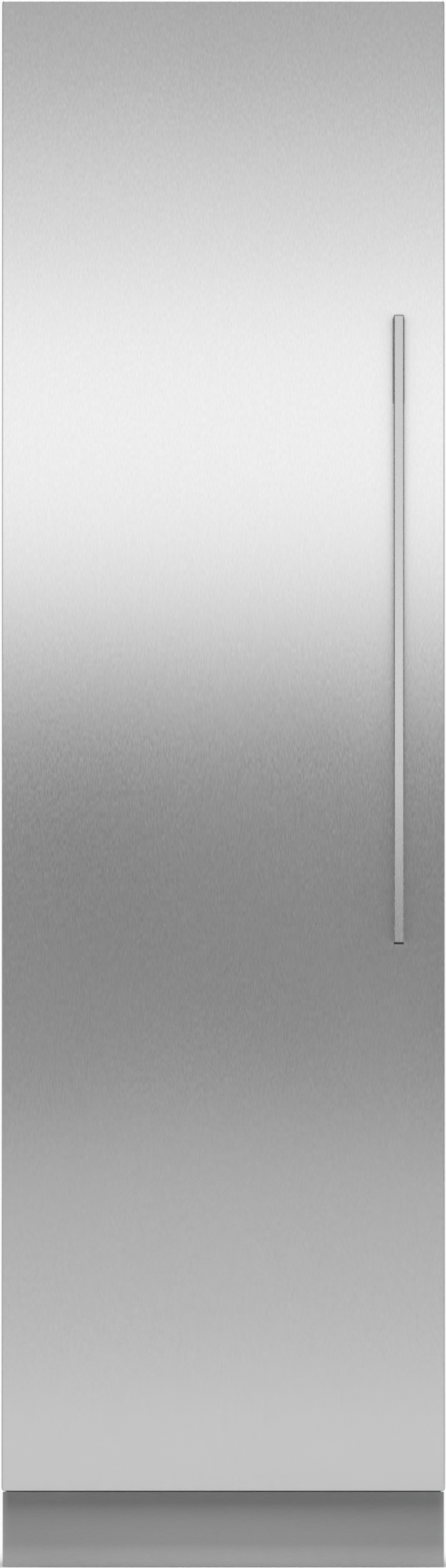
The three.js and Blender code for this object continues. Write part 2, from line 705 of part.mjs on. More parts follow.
// Drawers: each has a fixed housing, a pair of middle rails, a box and a front

const crisper = {
  doorGap: 12, frontThick: 5, housingGap: 0.9, frontLap: 11.5, sideGap: 4, housingWide: 57, wall: 3,
  railThick: 6, railHigh: 14, railFallShare: 0.3, barThick: 4, barHigh: 24, gripDeep: 22,
  gripHalf: 70, lowerHigh: 178, upperHigh: 190, floorGap: 9, headGap: 6, coverGap: 10,
  lowerBackGap: 15, upperBackGap: 15,
};
crisper.frontStation = plugBack + crisper.doorGap;
crisper.housingHalf = room.half - crisper.sideGap;
crisper.boxHalf = crisper.housingHalf - crisper.housingWide;
crisper.frontHalf = crisper.boxHalf + crisper.frontLap;
crisper.housingFront = crisper.frontStation + crisper.frontThick + crisper.housingGap;

const lowerDrawer = { name: 'lower', back: room.stepFront - crisper.lowerBackGap };
lowerDrawer.housingLow = room.floor + fit;
lowerDrawer.low = room.floor + crisper.floorGap;
lowerDrawer.high = lowerDrawer.low + crisper.lowerHigh;
lowerDrawer.housingHigh = lowerDrawer.high + crisper.headGap;

const upperDrawer = { name: 'upper', back: coverFront - crisper.upperBackGap };
upperDrawer.housingLow = lowerDrawer.housingHigh + fit;
upperDrawer.low = upperDrawer.housingLow + crisper.floorGap;
upperDrawer.high = upperDrawer.low + crisper.upperHigh;
upperDrawer.housingHigh = upperDrawer.high + crisper.coverGap;
const crisperTop = upperDrawer.housingHigh + fit + shelf.high;
const shelfBottoms = shelf.heightShares.map(
  (share) => crisperTop + share * (room.ceiling - crisperTop));

function drawerSet(drawer) {
  const railOuter = crisper.boxHalf + fit + crisper.railThick;
  const railZ = drawer.high - (drawer.high - drawer.low) * crisper.railFallShare;
  const railBack = drawer.back + fit + crisper.barThick;
  const housingBack = railBack + crisper.barThick + fit;
  const boxFront = crisper.frontStation + crisper.frontThick + fit;

  const housing = blockPair([railOuter + fit, crisper.housingFront, drawer.housingLow],
    [crisper.housingHalf, housingBack, drawer.housingHigh])
    .add(block([-crisper.housingHalf, housingBack - crisper.barThick + fit,
      drawer.high - crisper.barHigh], [crisper.housingHalf, housingBack, drawer.high]));
  piece(`${drawer.name}_drawer_housing`, looks.whitePlastic(), housing);

  const rails = blockPair([crisper.boxHalf + fit, boxFront, railZ],
    [railOuter, railBack, railZ + crisper.railHigh])
    .add(block([-railOuter, railBack - crisper.barThick, railZ],
      [railOuter, railBack, railZ + crisper.railHigh]));
  piece(`${drawer.name}_drawer_rails`, looks.zinc(), rails);

  const box = block([-crisper.boxHalf, boxFront, drawer.low],
    [crisper.boxHalf, drawer.back, drawer.high])
    .subtract(block([-crisper.boxHalf + crisper.wall, boxFront + crisper.wall,
      drawer.low + crisper.wall],
    [crisper.boxHalf - crisper.wall, drawer.back - crisper.wall, drawer.high + overrun]));
  piece(`${drawer.name}_drawer_box`, looks.clearPlastic(), box);

  const front = frontPrism(roundedRectangle(-crisper.frontHalf, drawer.low,
    crisper.frontHalf, drawer.high, crisper.wall), crisper.frontStation, boxFront - fit)
    .subtract(frontPrism(roundedRectangle(-crisper.gripHalf, drawer.high - crisper.gripDeep,
      crisper.gripHalf, drawer.high + crisper.gripDeep, crisper.wall),
    crisper.frontStation - overrun, boxFront + overrun));
  piece(`${drawer.name}_drawer_front`, looks.clearPlastic(), front);
}

// Door

function doorPanel() {
  const shape = roundedRectangle(-halfWidth, panelBottom, halfWidth, panelTop, panel.corner);
  const skin = frontPrism(shape, panel.edge, panel.thick, {
    bevelEnabled: true, bevelThickness: panel.edge, bevelSize: panel.edge,
    bevelOffset: -panel.edge, bevelSegments: 3,
  });
  const inside = halfWidth - panel.sheet;
  const low = panelBottom + panel.sheet;
  const high = panelTop - panel.sheet;
  const tray = skin
    .subtract(block([-halfWidth - overrun, panel.thick, panelBottom - overrun],
      [halfWidth + overrun, panel.thick + overrun, panelTop + overrun]))
    .subtract(frontPrism(roundedRectangle(-inside, low, inside, high, panel.corner),
      panel.sheet, panel.thick + overrun));
  piece('door_panel', looks.stainless(), tray);
  piece('panel_core', looks.greyPlastic(), frontPrism(
    roundedRectangle(-inside + fit, low + fit, inside - fit, high - fit, panel.corner),
    panel.sheet + fit, panel.thick));
}

function doorCase() {
  const wall = door.caseSheet;
  const shell = block([-leaf.half, leaf.front, leaf.bottom],
    [leaf.half, door.caseBack - fit, leaf.top])
    .subtract(block([-leaf.half + wall, leaf.front + wall, leaf.bottom + wall],
      [leaf.half - wall, door.caseBack + overrun, leaf.top - wall]));
  piece('door_case', looks.greyPaint(), shell);
}

// Plan outline of one dike, drawn in by a depth, from the plane that it grows out of
function dikeOutline(side, drawnIn, rootPlane) {
  const points = [
    [dikeInner + drawnIn, rootPlane], [dikeRoot - drawnIn, rootPlane],
    [dikeTip - drawnIn, dikeBack - drawnIn], [dikeInner + drawnIn, dikeBack - drawnIn],
  ].map(([x, y]) => new THREE.Vector2(side * x, y));
  return new THREE.Shape(side > 0 ? points : points.reverse());
}

function raisedParts(drawnIn, rootPlane) {
  let raised = block(
    [-plugHalf + drawnIn, rootPlane, plugBottom + drawnIn],
    [plugHalf - drawnIn, plugBack - drawnIn, plugTop - drawnIn]);
  for (const side of [-1, 1]) {
    raised = raised.add(planPrism(dikeOutline(side, drawnIn, rootPlane),
      dikeBottom + drawnIn, dikeTop - drawnIn));
  }
  return raised;
}

const bin = {
  heightShares: [0, 0.2445, 0.499, 0.761], footGap: 18, high: 112, backInset: 2, wall: 3,
  restDeep: 12, restHigh: 9, restInset: 10, rimDrop: 26,
};
const dikeBottom = crisperTop + dike.coverGap;
const binLow = dikeBottom + bin.footGap;
const binBottoms = bin.heightShares.map((share) => binLow + share * (dikeTop - binLow));
const binBack = dikeBack - bin.backInset;

function doorLiner() {
  const plateHalf = leaf.half - door.caseSheet;
  const sheet = door.linerSheet;
  let liner = block([-plateHalf, door.caseBack, leaf.bottom + door.caseSheet],
    [plateHalf, linerBack, leaf.top - door.caseSheet])
    .add(raisedParts(0, door.caseBack))
    .subtract(raisedParts(sheet, door.caseBack - overrun));
  for (const bottom of binBottoms) {
    liner = liner.add(blockPair(
      [dikeInner - bin.restDeep, plugBack + bin.restInset, bottom - fit - bin.restHigh],
      [dikeInner + sheet / 2, binBack - bin.restInset, bottom - fit]));
  }
  piece('door_liner', looks.whitePlastic(), liner);

  const half = leaf.half - door.caseSheet - fit;
  const foam = block([-half, leaf.front + door.caseSheet + fit,
    leaf.bottom + door.caseSheet + fit],
  [half, door.caseBack - fit, leaf.top - door.caseSheet - fit])
    .add(raisedParts(sheet + fit, door.caseBack - overrun));
  piece('door_insulation', looks.foam(), foam);
}

function doorGasket() {
  const half = leaf.half - gasket.inset;
  const low = leaf.bottom + gasket.inset;
  const high = leaf.top - gasket.inset;
  const w = gasket.width;
  const ring = block([-half, linerBack + fit, low], [half, cabinet.front - gasket.face, high])
    .subtract(block([-half + w, linerBack - overrun, low + w],
      [half - w, cabinet.front + overrun, high - w]));
  piece('door_gasket', looks.rubber(), ring);
}

function doorBins() {
  const half = dikeInner - fit;
  binBottoms.forEach((bottom, i) => {
    const top = bottom + bin.high;
    const tub = block([-half, plugBack + fit, bottom], [half, binBack, top])
      .subtract(block([-half + bin.wall, plugBack + fit + bin.wall, bottom + bin.wall],
        [half - bin.wall, binBack - bin.wall, top + overrun]))
      .subtract(block([-half - overrun, plugBack - overrun, top - bin.rimDrop],
        [half + overrun, binBack - bin.wall - overrun, top + overrun]));
    piece(`door_bin_${i + 1}`, looks.clearPlastic(), tub);
  });
}

// Handle: a square bar held off the panel by two saddles

const handle = {
  sideInset: 62.5, bottom: 849.6, long: 853.2, section: 14, face: 48, edge: 1.5, endEdge: 1,
  saddleLong: 118.7, saddleWide: 15, saddleProud: 0.6, lowerSaddleWide: 12.5,
};
handle.x = halfWidth - handle.sideInset;
handle.top = handle.bottom + handle.long;

function doorHandle() {
  const half = handle.section / 2;
  const barShape = roundedRectangle(handle.x - half, -handle.face, handle.x + half,
    -handle.face + handle.section, handle.edge);
  const bar = planPrism(barShape, handle.bottom + handle.endEdge, handle.top - handle.endEdge, {
    bevelEnabled: true, bevelThickness: handle.endEdge, bevelSize: handle.endEdge,
    bevelOffset: -handle.endEdge, bevelSegments: 2,
  });
  piece('handle_bar', looks.stainless(), bar);

  const seat = -handle.face + handle.section + fit;
  const upperTop = handle.top + handle.saddleProud;
  const upperHalf = handle.saddleWide / 2;
  piece('handle_upper_saddle', looks.satinSteel(), frontPrism(
    roundedRectangle(handle.x - upperHalf, upperTop - handle.saddleLong,
      handle.x + upperHalf, upperTop, handle.edge), seat, -fit));
  const lowerBottom = handle.bottom + handle.endEdge;
  const lowerHalf = handle.lowerSaddleWide / 2;
  piece('handle_lower_saddle', looks.satinSteel(), frontPrism(
    roundedRectangle(handle.x - lowerHalf, lowerBottom, handle.x + lowerHalf,
      lowerBottom + handle.saddleLong, handle.edge), seat, -fit));
}

// Articulated hinges, one above the cabinet and one below it. Each has a bracket on the
// cabinet, a bracket on the door, a main arm and a control arm. Heights are measured out
// from the cabinet's end face, and pivots from the left edge of the door panel.

const pivot = {
  mainCabinet: { inset: 81.5, y: 40 },
  mainDoor: { inset: 10.5, y: 38.5 },
  controlCabinet: { inset: 222.5, y: 132 },
  controlDoor: { inset: 11.5, y: 54.5 },
};
const hinge = {
  plate: 4, padTop: 4.5, padRadius: 8,
  controlLow: 6, controlHigh: 12, controlEnd: 9.2, controlBoss: 10, controlSlack: 2.2,
  mainLow: 15.5, mainHigh: 23.5, mainEnd: 8, mainBoss: 10,
  doorPin: 3.5, cabinetPin: 4, running: 0.3, head: 2, headGap: 0.4,
  headRadius: 8, mainDoorHead: 7, armPlateLow: 25, armPlateBoss: 12,
  riserFront: 102, riserThick: 4, riserHalf: 25, footBack: 152, footRight: 18,
  doorPlateRight: 75, doorPlateEdge: 2.5, screwRadius: 5, screwHigh: 1.3, screwInset: 9,
};

function pivotPoint({ inset, y }) {
  return new THREE.Vector2(-halfWidth + inset, y);
}

// A height h above the cabinet's top face, or below its bottom face for the lower hinge
function levels(end, h0, h1) {
  const z = end > 0 ? [cab.top + h0, cab.top + h1] : [cab.bottom - h1, cab.bottom - h0];
  return z;
}

function hingeAt(end, name) {
  const a = pivotPoint(pivot.mainCabinet);
  const c = pivotPoint(pivot.mainDoor);
  const b = pivotPoint(pivot.controlCabinet);
  const d = pivotPoint(pivot.controlDoor);
  const prism = (shape, h0, h1) => planPrism(shape, ...levels(end, h0, h1));
  const pin = (p, h0, h1, radius, sides = 20) => {
    const [z0, z1] = levels(end, h0, h1);
    return rod('z', [p.x, p.y, 0], z0, z1, radius, sides);
  };

  const riserBack = hinge.riserFront + hinge.riserThick;
  const footFlat = fit + hinge.plate;
  const armTop = hinge.armPlateLow + hinge.plate;
  const armPlate = linkOutline(a, hinge.armPlateBoss,
    new THREE.Vector2(a.x, riserBack - hinge.armPlateBoss), hinge.armPlateBoss + fit);
  let cabinetBracket = prism(rectangle(a.x - hinge.riserHalf, hinge.riserFront,
    b.x + hinge.footRight, hinge.footBack), fit, footFlat)
    .add(prism(rectangle(a.x - hinge.riserHalf, hinge.riserFront,
      a.x + hinge.riserHalf, riserBack), fit, armTop))
    .add(prism(armPlate, hinge.armPlateLow, armTop))
    .add(pin(b, footFlat - hinge.plate / 2, hinge.controlHigh + hinge.headGap,
      hinge.cabinetPin))
    .add(pin(b, footFlat - hinge.plate / 2, hinge.controlLow - hinge.headGap,
      hinge.headRadius))
    .add(pin(b, hinge.controlHigh + hinge.headGap,
      hinge.controlHigh + hinge.headGap + hinge.head, hinge.headRadius))
    .add(pin(a, hinge.mainLow - hinge.headGap, hinge.armPlateLow + hinge.plate / 2,
      hinge.cabinetPin))
    .add(pin(a, hinge.mainLow - hinge.headGap - hinge.head, hinge.mainLow - hinge.headGap,
      hinge.headRadius))
    .add(pin(a, hinge.mainHigh + hinge.headGap, hinge.armPlateLow + hinge.plate / 2,
      hinge.headRadius));
  const screwY = hinge.footBack - hinge.screwInset;
  const screwXs = [a.x - hinge.riserHalf + hinge.screwInset, (a.x + b.x) / 2,
    b.x + hinge.footRight - hinge.screwInset];
  for (const x of screwXs) {
    cabinetBracket = cabinetBracket.add(pin({ x, y: screwY }, footFlat - hinge.plate / 2,
      footFlat + hinge.screwHigh, hinge.screwRadius, 6));
  }
  piece(`${name}_cabinet_bracket`, looks.zinc(), cabinetBracket);

  const caseFace = -door.endInset + fit;
  const plateFace = caseFace + hinge.plate;
  const plateLeft = -leaf.half + hinge.doorPlateEdge - hinge.padRadius / 2;
  let doorBracket = prism(rectangle(plateLeft, leaf.front + hinge.doorPlateEdge,
    plateLeft + hinge.doorPlateRight, door.caseBack - hinge.doorPlateEdge),
  caseFace, plateFace)
    .add(prism(linkOutline(c, hinge.padRadius, d, hinge.padRadius), caseFace, hinge.padTop))
    .add(pin(c, hinge.padTop - hinge.plate, hinge.mainHigh + hinge.headGap, hinge.doorPin))
    .add(pin(c, hinge.mainHigh + hinge.headGap, hinge.mainHigh + hinge.headGap + hinge.head,
      hinge.mainDoorHead))
    .add(pin(d, hinge.padTop - hinge.plate, hinge.controlHigh + hinge.headGap,
      hinge.doorPin))
    .add(pin(d, hinge.controlHigh + hinge.headGap,
      hinge.controlHigh + hinge.headGap + hinge.head, hinge.headRadius));
  const doorScrewX = plateLeft + hinge.doorPlateRight - hinge.screwInset;
  for (const y of [c.y, d.y]) {
    doorBracket = doorBracket.add(pin({ x: doorScrewX, y }, plateFace - hinge.plate / 2,
      plateFace + hinge.screwHigh, hinge.screwRadius, 6));
  }
  piece(`${name}_door_bracket`, looks.zinc(), doorBracket);

  const mainArm = prism(linkOutline(a, hinge.mainBoss, c, hinge.mainEnd),
    hinge.mainLow, hinge.mainHigh)
    .subtract(pin(a, hinge.mainLow - overrun, hinge.mainHigh + overrun,
      hinge.cabinetPin + hinge.running))
    .subtract(pin(c, hinge.mainLow - overrun, hinge.mainHigh + overrun,
      hinge.doorPin + hinge.running));
  piece(`${name}_main_arm`, looks.zinc(), mainArm);

  const controlArm = prism(linkOutline(b, hinge.controlBoss, d, hinge.controlEnd),
    hinge.controlLow, hinge.controlHigh)
    .subtract(pin(b, hinge.controlLow - overrun, hinge.controlHigh + overrun,
      hinge.cabinetPin + hinge.running))
    .subtract(pin(d, hinge.controlLow - overrun, hinge.controlHigh + overrun,
      hinge.doorPin + hinge.controlSlack + hinge.running));
  piece(`${name}_control_arm`, looks.zinc(), controlArm);
}

cabinetShell();
frontFrame();
insulation();
innerLiner();
backPanel();
baseFrame();
toeKick();
compressorUnit();
condenserCoil();
condenserFanSet();
dripTray();
boardBox();
ventGrille();
airCover();
evaporatorCoil();
ceilingFitting('ceiling_light', looks.clearPlastic(), light);
ceilingFitting('control_panel', looks.blackPlastic(), controls);
shelfBottoms.forEach((bottom, i) => shelfSet(`shelf_${i + 1}`, bottom, shelf.front));
shelfSet('crisper_cover', upperDrawer.housingHigh + fit, crisper.housingFront);
drawerSet(lowerDrawer);
drawerSet(upperDrawer);
doorPanel();
doorCase();
doorLiner();
doorGasket();
doorBins();
doorHandle();
hingeAt(1, 'upper_hinge');
hingeAt(-1, 'lower_hinge');

refrigerator.position.y = -(overall.depth - handle.face) / 2;

export default refrigerator;
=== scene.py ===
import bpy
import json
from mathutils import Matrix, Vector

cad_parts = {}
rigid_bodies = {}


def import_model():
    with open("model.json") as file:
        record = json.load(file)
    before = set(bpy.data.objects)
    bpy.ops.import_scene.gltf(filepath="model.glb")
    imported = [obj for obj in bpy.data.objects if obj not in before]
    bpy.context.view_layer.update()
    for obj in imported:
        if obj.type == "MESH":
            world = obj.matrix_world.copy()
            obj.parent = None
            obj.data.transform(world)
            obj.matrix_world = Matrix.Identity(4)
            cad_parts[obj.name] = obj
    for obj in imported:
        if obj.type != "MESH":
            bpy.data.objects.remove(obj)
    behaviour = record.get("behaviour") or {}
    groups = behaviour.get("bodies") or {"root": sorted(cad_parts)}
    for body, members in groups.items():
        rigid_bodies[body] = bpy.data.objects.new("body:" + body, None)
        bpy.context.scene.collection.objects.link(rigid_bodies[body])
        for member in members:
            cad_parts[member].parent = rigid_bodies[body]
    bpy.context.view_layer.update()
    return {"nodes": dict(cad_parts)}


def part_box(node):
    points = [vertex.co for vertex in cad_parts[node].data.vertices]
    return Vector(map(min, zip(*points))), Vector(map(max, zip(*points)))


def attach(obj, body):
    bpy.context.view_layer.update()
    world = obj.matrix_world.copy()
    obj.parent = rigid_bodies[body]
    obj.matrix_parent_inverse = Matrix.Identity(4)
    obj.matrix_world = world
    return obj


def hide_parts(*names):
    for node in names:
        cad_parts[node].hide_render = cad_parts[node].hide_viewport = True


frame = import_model()

import json
import math

import bmesh
import bpy
from bpy.props import FloatProperty, FloatVectorProperty, PointerProperty
from bpy.types import Operator, Panel, PropertyGroup
from mathutils import Vector

bl_info = {
    "name": "Column refrigerator looks",
    "version": (1, 0, 0),
    "blender": (4, 5, 0),
    "location": "3D View > Sidebar > Refrigerator",
    "description": "Dresses the packed column refrigerator and sets it on a plain studio stage",
    "category": "Object",
}

FRONT = Vector((0, -1, 0))
BACK = Vector((0, 1, 0))
UP = Vector((0, 0, 1))
DOWN = Vector((0, 0, -1))
RIGHT = Vector((1, 0, 0))
LEFT = Vector((-1, 0, 0))
TURN = 2 * math.pi
TINY = 0.00001


def length(name, default, description):
    """A size that a user may change, in metres."""
    return FloatProperty(
        name=name, description=description, default=default, min=0.0, precision=5,
        subtype="DISTANCE", unit="LENGTH")


def colour(name, default, description):
    """A colour that a user may change."""
    return FloatVectorProperty(
        name=name, description=description, default=default, size=3, min=0.0, max=1.0,
        subtype="COLOR")


class RefrigeratorSizes(PropertyGroup):
    """Sizes of the trim, the fasteners, the grain and the stage."""

    camera_distance: length("Camera distance", 26.0, "From the door's face to the camera")
    camera_height: length("Camera height", 0.20, "Height of the camera over the floor")
    view_height: length("View height", 2.1358, "Height of the picture at the door's face")
    view_middle: length("View middle", 1.0659, "Height at the middle of the picture")
    view_side: length("View side", 0.0004, "Middle of the picture, left of the door's middle")
    light_distance: length("Light distance", 1.9, "From the cabinet to the front lights")
    light_wide: length("Light width", 3.2, "Width of the front lights")
    kick_light_wide: length("Kick light width", 1.0, "Width of the toe kick's soft lights")
    light_gap: length("Light gap", 0.02, "From one front light to the next behind it")
    floor_half: length("Floor half width", 60.0, "Half the width of the floor")
    floor_gap: length("Floor gap", 0.0001, "From the part's foot down to the floor")
    grain_wide: length("Grain width", 0.0013, "Width of one brush mark")
    grain_long: length("Grain length", 0.0075, "Length of one brush mark")
    handle_edge: length("Handle edge", 0.0014, "Rounding of the handle's long edges")
    skin_edge: length("Door edge", 0.0015, "Rolled edge round the door's front")
    skin_corner: length("Door corner", 0.0040, "Corner radius of the door's front")
    panel_round: length("Moulding edge", 0.0015, "Rounding of moulded edges")
    screw_radius: length("Screw radius", 0.0042, "Radius of a screw's head")
    screw_high: length("Screw height", 0.0011, "Height of a screw's head")
    tube_radius: length("Tube radius", 0.0032, "Radius of the refrigerant tubes")
    shelf_nose: length("Shelf nose", 0.0025, "Rounding of a shelf's front trim")
    bin_corner: length("Bin corner", 0.014, "Corner radius of a door bin")
    drawer_corner: length("Drawer corner", 0.016, "Corner radius of a drawer's box")
    rib_high: length("Rib height", 0.0009, "Height of a moulded rib on the liner")
    fin_pitch: length("Fin pitch", 0.0052, "Spacing of the cooling fins")
    louvre_deep: length("Louvre depth", 0.008, "Depth of the louvres behind the grille")


class RefrigeratorColours(PropertyGroup):
    """Colours of the finishes."""

    stainless: colour("Stainless", (0.62, 0.62, 0.62), "Brushed door and handle")
    # Painted shade: a darker copy of the stainless, worn by the door's sides and underside and
    # by the bar's end chamfers
    shaded_edge_steel: colour("Edge steel", (0.30, 0.30, 0.30), "Door's rolled edges, bar's ends")
    # Painted shade: a darker copy of the stainless for the toe kick, for the shade under the
    # door
    shaded_kick_steel: colour("Kick steel", (0.30, 0.30, 0.30), "Toe kick under the door")
    # Painted shade: a darker copy of the stainless for the saddles behind the bar
    shaded_saddle_steel: colour("Saddle steel", (0.34, 0.34, 0.345), "Saddles of the handle")
    satin_steel: colour("Satin steel", (0.52, 0.53, 0.54), "Trims and rails")
    zinc: colour("Zinc", (0.46, 0.47, 0.48), "Hinges, rails and the back sheet")
    grey_paint: colour("Grey paint", (0.33, 0.34, 0.35), "Cabinet and door case")
    dark_paint: colour("Dark paint", (0.028, 0.029, 0.032), "Chassis and compressor")
    white_plastic: colour("White plastic", (0.80, 0.81, 0.81), "Liners and mouldings")
    grey_plastic: colour("Grey plastic", (0.50, 0.52, 0.53), "Wheels and boxes")
    black_plastic: colour("Black plastic", (0.014, 0.014, 0.016), "Fans, tray and controls")
    clear_plastic: colour("Clear plastic", (0.80, 0.87, 0.90), "Bins, drawers and lens")
    foam: colour("Foam", (0.78, 0.68, 0.38), "Insulation inside the walls")
    rubber: colour("Rubber", (0.24, 0.25, 0.26), "Door gasket and grommets")
    glass: colour("Glass", (0.70, 0.86, 0.80), "Shelf glass")
    glass_edge: colour("Glass edge", (0.12, 0.42, 0.33), "Cut edges of the shelf glass")
    light_lens: colour("Light lens", (0.90, 0.92, 0.93), "Cover of the ceiling light")
    marker_glow: colour("Marker glow", (0.70, 0.85, 0.95), "Marks on the control strip")
    aluminium: colour("Aluminium", (0.60, 0.62, 0.64), "Fins and bin trims")
    copper: colour("Copper", (0.72, 0.36, 0.22), "Refrigerant tubes")
    floor: colour("Floor", (0.90, 0.90, 0.90), "Studio floor")


def sizes():
    return bpy.context.scene.refrigerator_sizes


def colours():
    return bpy.context.scene.refrigerator_colours


# Finishes


class Look:
    """A material being made: a shader and the nodes that vary it over the surface."""

    def __init__(self, name, base, roughness, metallic=0.0):
        self.material = bpy.data.materials.new(name)
        self.material.use_nodes = True
        self.tree = self.material.node_tree
        self.shader = self.tree.nodes["Principled BSDF"]
        self.base = Vector(base)
        self.set("Base Color", (*base, 1.0))
        self.set("Roughness", roughness)
        self.set("Metallic", metallic)
        self.place = self.node("ShaderNodeTexCoord").outputs["Object"]

    def feed(self, made, name, value):
        """Gives a node's input a value or another node's output."""
        if isinstance(value, bpy.types.NodeSocket):
            self.tree.links.new(value, made.inputs[name])
        else:
            made.inputs[name].default_value = value

    def set(self, name, value):
        self.feed(self.shader, name, value)

    def node(self, kind, inputs=None, **settings):
        made = self.tree.nodes.new(kind)
        for key, value in settings.items():
            setattr(made, key, value)
        for name, value in (inputs or {}).items():
            self.feed(made, name, value)
        return made

    def stretched(self, grain):
        """The place on the surface, divided by a grain size along each axis."""
        return self.node("ShaderNodeMapping", {
            "Vector": self.place, "Scale": [1 / size for size in grain]}).outputs["Vector"]

    def noise(self, grain, detail=2.0, roughness=0.5):
        """Noise whose marks have the grain's size along x, y and z."""
        return self.node("ShaderNodeTexNoise", {
            "Vector": self.stretched(grain), "Scale": 1.0, "Detail": detail,
            "Roughness": roughness}).outputs["Fac"]

    def cells(self, grain):
        """A random value for each cell of the grain's size."""
        texture = self.node("ShaderNodeTexVoronoi", {
            "Vector": self.stretched(grain), "Scale": 1.0})
        return self.node("ShaderNodeSeparateColor", {
            "Color": texture.outputs["Color"]}).outputs["Red"]

    def ranged(self, value, low, high, start=0.25, end=0.75):
        """The value's middle stretch, spread from low to high."""
        return self.node("ShaderNodeMapRange", {
            "Value": value, "From Min": start, "From Max": end, "To Min": low,
            "To Max": high}).outputs["Result"]

    def joined(self, operation, first, second):
        return self.node("ShaderNodeMath", {0: first, 1: second},
                         operation=operation).outputs["Value"]

    def shade(self, *factors):
        """Multiplies the base colour by one or two varying factors."""
        factor = self.joined("MULTIPLY", *factors) if len(factors) == 2 else factors[0]
        self.set("Base Color", self.node(
            "ShaderNodeVectorMath", {0: self.base, "Scale": factor},
            operation="SCALE").outputs["Vector"])

    def roughen(self, value, low, high):
        self.set("Roughness", self.ranged(value, low, high))

    def bump(self, height, depth, strength=1.0):
        """Raises the surface by the height value times a depth in metres."""
        self.set("Normal", self.node("ShaderNodeBump", {
            "Height": height, "Distance": depth, "Strength": strength}).outputs["Normal"])

    def spread_along(self, axis):
        """Makes the reflection spread along an axis of the piece."""
        self.set("Tangent", self.node(
            "ShaderNodeVectorTransform", {"Vector": axis}, vector_type="VECTOR",
            convert_from="OBJECT", convert_to="WORLD").outputs["Vector"])


def brush_marks(kind):
    """The size of a brush mark, which lies upright or level, or is round."""
    wide, long = sizes().grain_wide, sizes().grain_long
    return {"upright": (wide, wide, long), "level": (long, wide, wide),
            "round": (0.002, 0.002, 0.002)}[kind]


def brushed(name, base, kind, spread, roughness, anisotropy, contrast=0.05):
    """Brushed steel: short marks along the grain, faint long ones and slight smudges."""
    look = Look(name, base, roughness, 1.0)
    grain = brush_marks(kind)
    marks = look.noise(grain, 1.0)
    long_marks = look.noise([size * 6 for size in grain], 2.0)
    smudges = look.noise((0.22, 0.22, 0.30), 3.0)
    look.shade(look.ranged(marks, 1 - contrast, 1 + contrast, 0.2, 0.8),
               look.joined("MULTIPLY", look.ranged(long_marks, 0.992, 1.008),
                           look.ranged(smudges, 0.996, 1.004)))
    look.roughen(look.joined("ADD", marks, look.ranged(smudges, -0.08, 0.08)),
                 roughness - 0.025, roughness + 0.025)
    look.bump(marks, 0.00002, 0.35)
    look.set("Anisotropic", anisotropy)
    look.spread_along(spread)
    return look.material


def painted(name, base, roughness):
    """Powder paint: orange peel, faint mottling and rubbed patches."""
    look = Look(name, base, roughness)
    peel = look.noise((0.0022, 0.0022, 0.0022), 2.0)
    mottle = look.noise((0.16, 0.16, 0.22), 4.0, 0.6)
    look.shade(look.ranged(mottle, 0.94, 1.05), look.ranged(peel, 0.98, 1.02))
    look.roughen(mottle, roughness - 0.05, roughness + 0.07)
    look.bump(peel, 0.00012, 0.5)
    look.set("Specular IOR Level", 0.35)
    return look.material


def galvanised(name, base, spangle, roughness):
    """Zinc on steel: crystals that each catch the light a little differently."""
    look = Look(name, base, roughness, 1.0)
    crystals = look.cells((spangle, spangle, spangle * 1.4))
    cloud = look.noise((0.12, 0.12, 0.18), 4.0, 0.6)
    fine = look.noise((0.0012, 0.0012, 0.0012), 2.0)
    look.shade(look.ranged(crystals, 0.92, 1.06, 0.0, 1.0), look.ranged(cloud, 0.93, 1.05))
    look.roughen(look.joined("ADD", look.ranged(crystals, -0.2, 0.2, 0.0, 1.0), cloud),
                 roughness - 0.06, roughness + 0.08)
    look.bump(fine, 0.00004, 0.4)
    return look.material


def moulded(name, base, roughness, grain=0.0009, depth=0.00005, mottling=0.012):
    """Moulded plastic or rubber: a fine skin texture and very slight clouding."""
    look = Look(name, base, roughness)
    skin = look.noise((grain, grain, grain), 3.0)
    cloud = look.noise((0.09, 0.09, 0.12), 3.0)
    look.shade(look.ranged(cloud, 1 - mottling, 1 + mottling), look.ranged(skin, 0.99, 1.01))
    look.roughen(cloud, roughness - 0.03, roughness + 0.04)
    look.bump(skin, depth, 0.5)
    return look.material


def see_through(name, base, roughness, clearest, densest):
    """Clear plastic or glass: clear face on, denser at a glance and along its edges."""
    look = Look(name, base, roughness)
    cloud = look.noise((0.05, 0.05, 0.07), 3.0)
    look.shade(look.ranged(cloud, 0.98, 1.02))
    look.roughen(cloud, roughness, roughness + 0.05)
    facing = look.node("ShaderNodeLayerWeight", {"Blend": 0.35}).outputs["Facing"]
    look.set("Alpha", look.ranged(facing, clearest, densest, 0.0, 1.0))
    look.bump(cloud, 0.0004, 0.3)
    look.set("IOR", 1.5)
    return look.material


def cellular(name, base):
    """Rigid foam: small open cells."""
    look = Look(name, base, 0.9)
    cell = look.cells((0.0014, 0.0014, 0.0014))
    cloud = look.noise((0.05, 0.05, 0.05), 3.0)
    look.shade(look.ranged(cell, 0.86, 1.06, 0.0, 1.0), look.ranged(cloud, 0.93, 1.05))
    look.bump(cell, 0.0004, 0.7)
    return look.material


def glowing(name, base, strength):
    """A lamp's lens, lit evenly from inside."""
    look = Look(name, base, 0.35)
    ripple = look.noise((0.004, 0.05, 0.004), 2.0)
    look.shade(look.ranged(ripple, 0.97, 1.03))
    look.bump(ripple, 0.0004, 0.4)
    look.set("Emission Color", (1.0, 0.98, 0.95, 1.0))
    look.set("Emission Strength", strength)
    return look.material


def studio_floor(name, base):
    """A pale matt floor with faint grain and clouding."""
    look = Look(name, base, 0.55)
    grain = look.noise((0.02, 0.02, 0.02), 3.0)
    cloud = look.noise((1.3, 1.3, 1.3), 3.0)
    look.shade(look.ranged(grain, 0.995, 1.005), look.ranged(cloud, 0.996, 1.004))
    look.roughen(cloud, 0.5, 0.6)
    look.bump(grain, 0.0002, 0.3)
    look.set("Specular IOR Level", 0.0)
    return look.material


